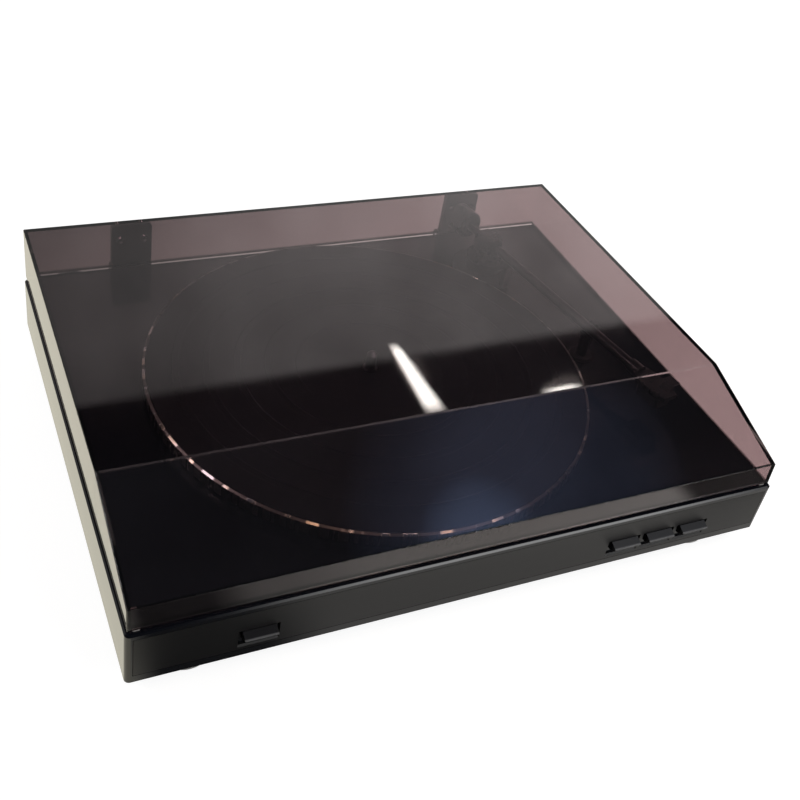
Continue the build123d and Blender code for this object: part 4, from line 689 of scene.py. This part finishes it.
# World
def studio_world():
    """White to the eye; pieces mirror a pale sheet behind, a dark room and a few windows on high."""
    made = bpy.data.worlds.new("studio_world")
    made.use_nodes = True
    tree = made.node_tree
    where = add(tree, "ShaderNodeTexCoord").outputs["Generated"]
    on_high = spread(tree, toward(tree, where, (0, 0, 1)), 0.0, 1.0, 0.66, 0.85)
    room = blend_colours(tree, on_high, (0.03, 0.03, 0.035), (0.11, 0.115, 0.135))
    on_sheet = spread(tree, toward(tree, where, (0.0, 0.665, -0.747)), 0.0, 1.0, -0.003, 0.005)
    colour = blend_colours(tree, on_sheet, room, (0.60, 0.59, 0.585))
    # Each window has its direction, the start and end of its soft edge, and its colour
    for direction, near, far, tint in (
        ((0.4696, 0.0799, 0.8793), 0.988, 0.9995, (0.29, 0.38, 0.65)),
        ((0.437, 0.066, 0.897), 0.9986, 0.9998, (0.40, 0.62, 1.10)),
        ((0.56, -0.19, 0.81), 0.984, 0.996, (1.1, 1.15, 1.25)),
        ((0.43, -0.34, 0.84), 0.988, 0.997, (3.2, 3.0, 2.7)),
        ((-0.16, -0.24, 0.957), 0.980, 0.995, (3.6, 3.0, 2.2)),
    ):
        in_window = spread(tree, toward(tree, where, direction), 0.0, 1.0, near, far)
        window = blend_colours(tree, in_window, (0, 0, 0), tint)
        colour = blend_colours(tree, 1.0, colour, window, "ADD")
    cloud = add(tree, "ShaderNodeTexNoise")
    put(tree, where, cloud.inputs["Vector"])
    put(tree, 8.0, cloud.inputs["Scale"])
    put(tree, 6.0, cloud.inputs["Detail"])
    patch = spread(tree, cloud.outputs["Fac"], 0.7, 1.3)
    glare = spread(tree, toward(tree, where, (0.52, 0.69, 0.50)), 0.6, 1.35, 0.93, 1.0)
    lit = tree.nodes["Background"]
    put(tree, colour, lit.inputs["Color"])
    put(tree, work_out(tree, "MULTIPLY", patch, glare), lit.inputs["Strength"])
    plain = add(tree, "ShaderNodeBackground")
    put(tree, (1, 1, 1), plain.inputs["Color"])
    to_eye = add(tree, "ShaderNodeLightPath").outputs["Is Camera Ray"]
    both = blend_shaders(tree, to_eye, lit.outputs[0], plain.outputs[0])
    put(tree, both, tree.nodes["World Output"].inputs["Surface"])
    return made


scene.world = studio_world()

# Lamps: the cloth of a softbox fades over a share of its width, and a gain makes up for the lost light
fade_share, fade_gain = 0.22, 1.64


def lamp(name, spot, aim, width, depth, power, mirrored=True):
    """A softbox whose cloth fades toward its rim."""
    data = bpy.data.lights.new(name, "AREA")
    data.shape = "RECTANGLE"
    data.size = width
    data.size_y = depth
    data.energy = power * fade_gain
    data.use_nodes = True
    tree = data.node_tree
    axes = along_axes(tree, add(tree, "ShaderNodeNewGeometry").outputs["Parametric"])
    fades = []
    for side in "XY":
        from_rim = work_out(tree, "PINGPONG", axes[side], 0.5)
        fades.append(spread(tree, from_rim, 0.0, 1.0, 0.0, fade_share))
    put(tree, work_out(tree, "MULTIPLY", *fades), tree.nodes["Emission"].inputs["Strength"])
    made = bpy.data.objects.new(name, data)
    made.location = spot
    made.rotation_euler = (Vector(aim) - Vector(spot)).to_track_quat("-Z", "Y").to_euler()
    made.visible_camera = False
    made.visible_glossy = mirrored
    made.visible_transmission = mirrored
    scene.collection.objects.link(made)


def tube(name, spot, width, depth, flare, power):
    """A ceiling tube with soft edges that the cover mirrors; flare widens it toward the player."""
    made, tree, _, end = material(name)
    axes = along_axes(tree, place(tree, location=(-spot[0], -spot[1], 0)))
    half_width = work_out(tree, "MULTIPLY_ADD", axes["Y"], -flare, width / 2)
    from_middle = work_out(tree, "DIVIDE", work_out(tree, "ABSOLUTE", axes["X"]), half_width)
    across = spread(tree, from_middle, power, 0.0, 0.35, 1.0)
    along = spread(tree, work_out(tree, "ABSOLUTE", axes["Y"]), 1.0, 0.0, depth * 0.34, depth * 0.5)
    glow = add(tree, "ShaderNodeEmission")
    put(tree, (1, 0.97, 0.9), glow.inputs["Color"])
    put(tree, work_out(tree, "MULTIPLY", across, along), glow.inputs["Strength"])
    clear = add(tree, "ShaderNodeBsdfTransparent")
    put(tree, add_shaders(tree, glow.outputs[0], clear.outputs[0]), end.inputs["Surface"])
    sheet_place = Matrix.Translation(spot) @ Matrix.Diagonal((width + depth * flare, depth, 1, 1))
    panel = stage_sheet(name, made, 1, 0.5, sheet_place)
    panel.visible_camera = False
    panel.visible_shadow = False


lamp("key_softbox", (-1.3, 0.5, 1.5), (0, 0, 0.05), 1.2, 0.9, 9)
lamp("fill_softbox", (1.2, -1.0, 1.6), (0, 0, 0.05), 1.0, 0.8, 5, mirrored=False)
lamp("front_softbox", (0.9, -1.7, 1.05), (0, -0.15, 0.04), 1.5, 0.6, 9)
lamp("top_softbox", (0.75, -0.53, 1.5), (0, -0.17, 0.04), 1.1, 0.3, 2, mirrored=False)
tube("tube_lamp", (0.862, 1.36, 1.4), 0.05, 0.29, 0.06, 17)
tube("far_tube_lamp", (1.225, 1.21, 1.4), 0.13, 0.06, 0.0, 14)
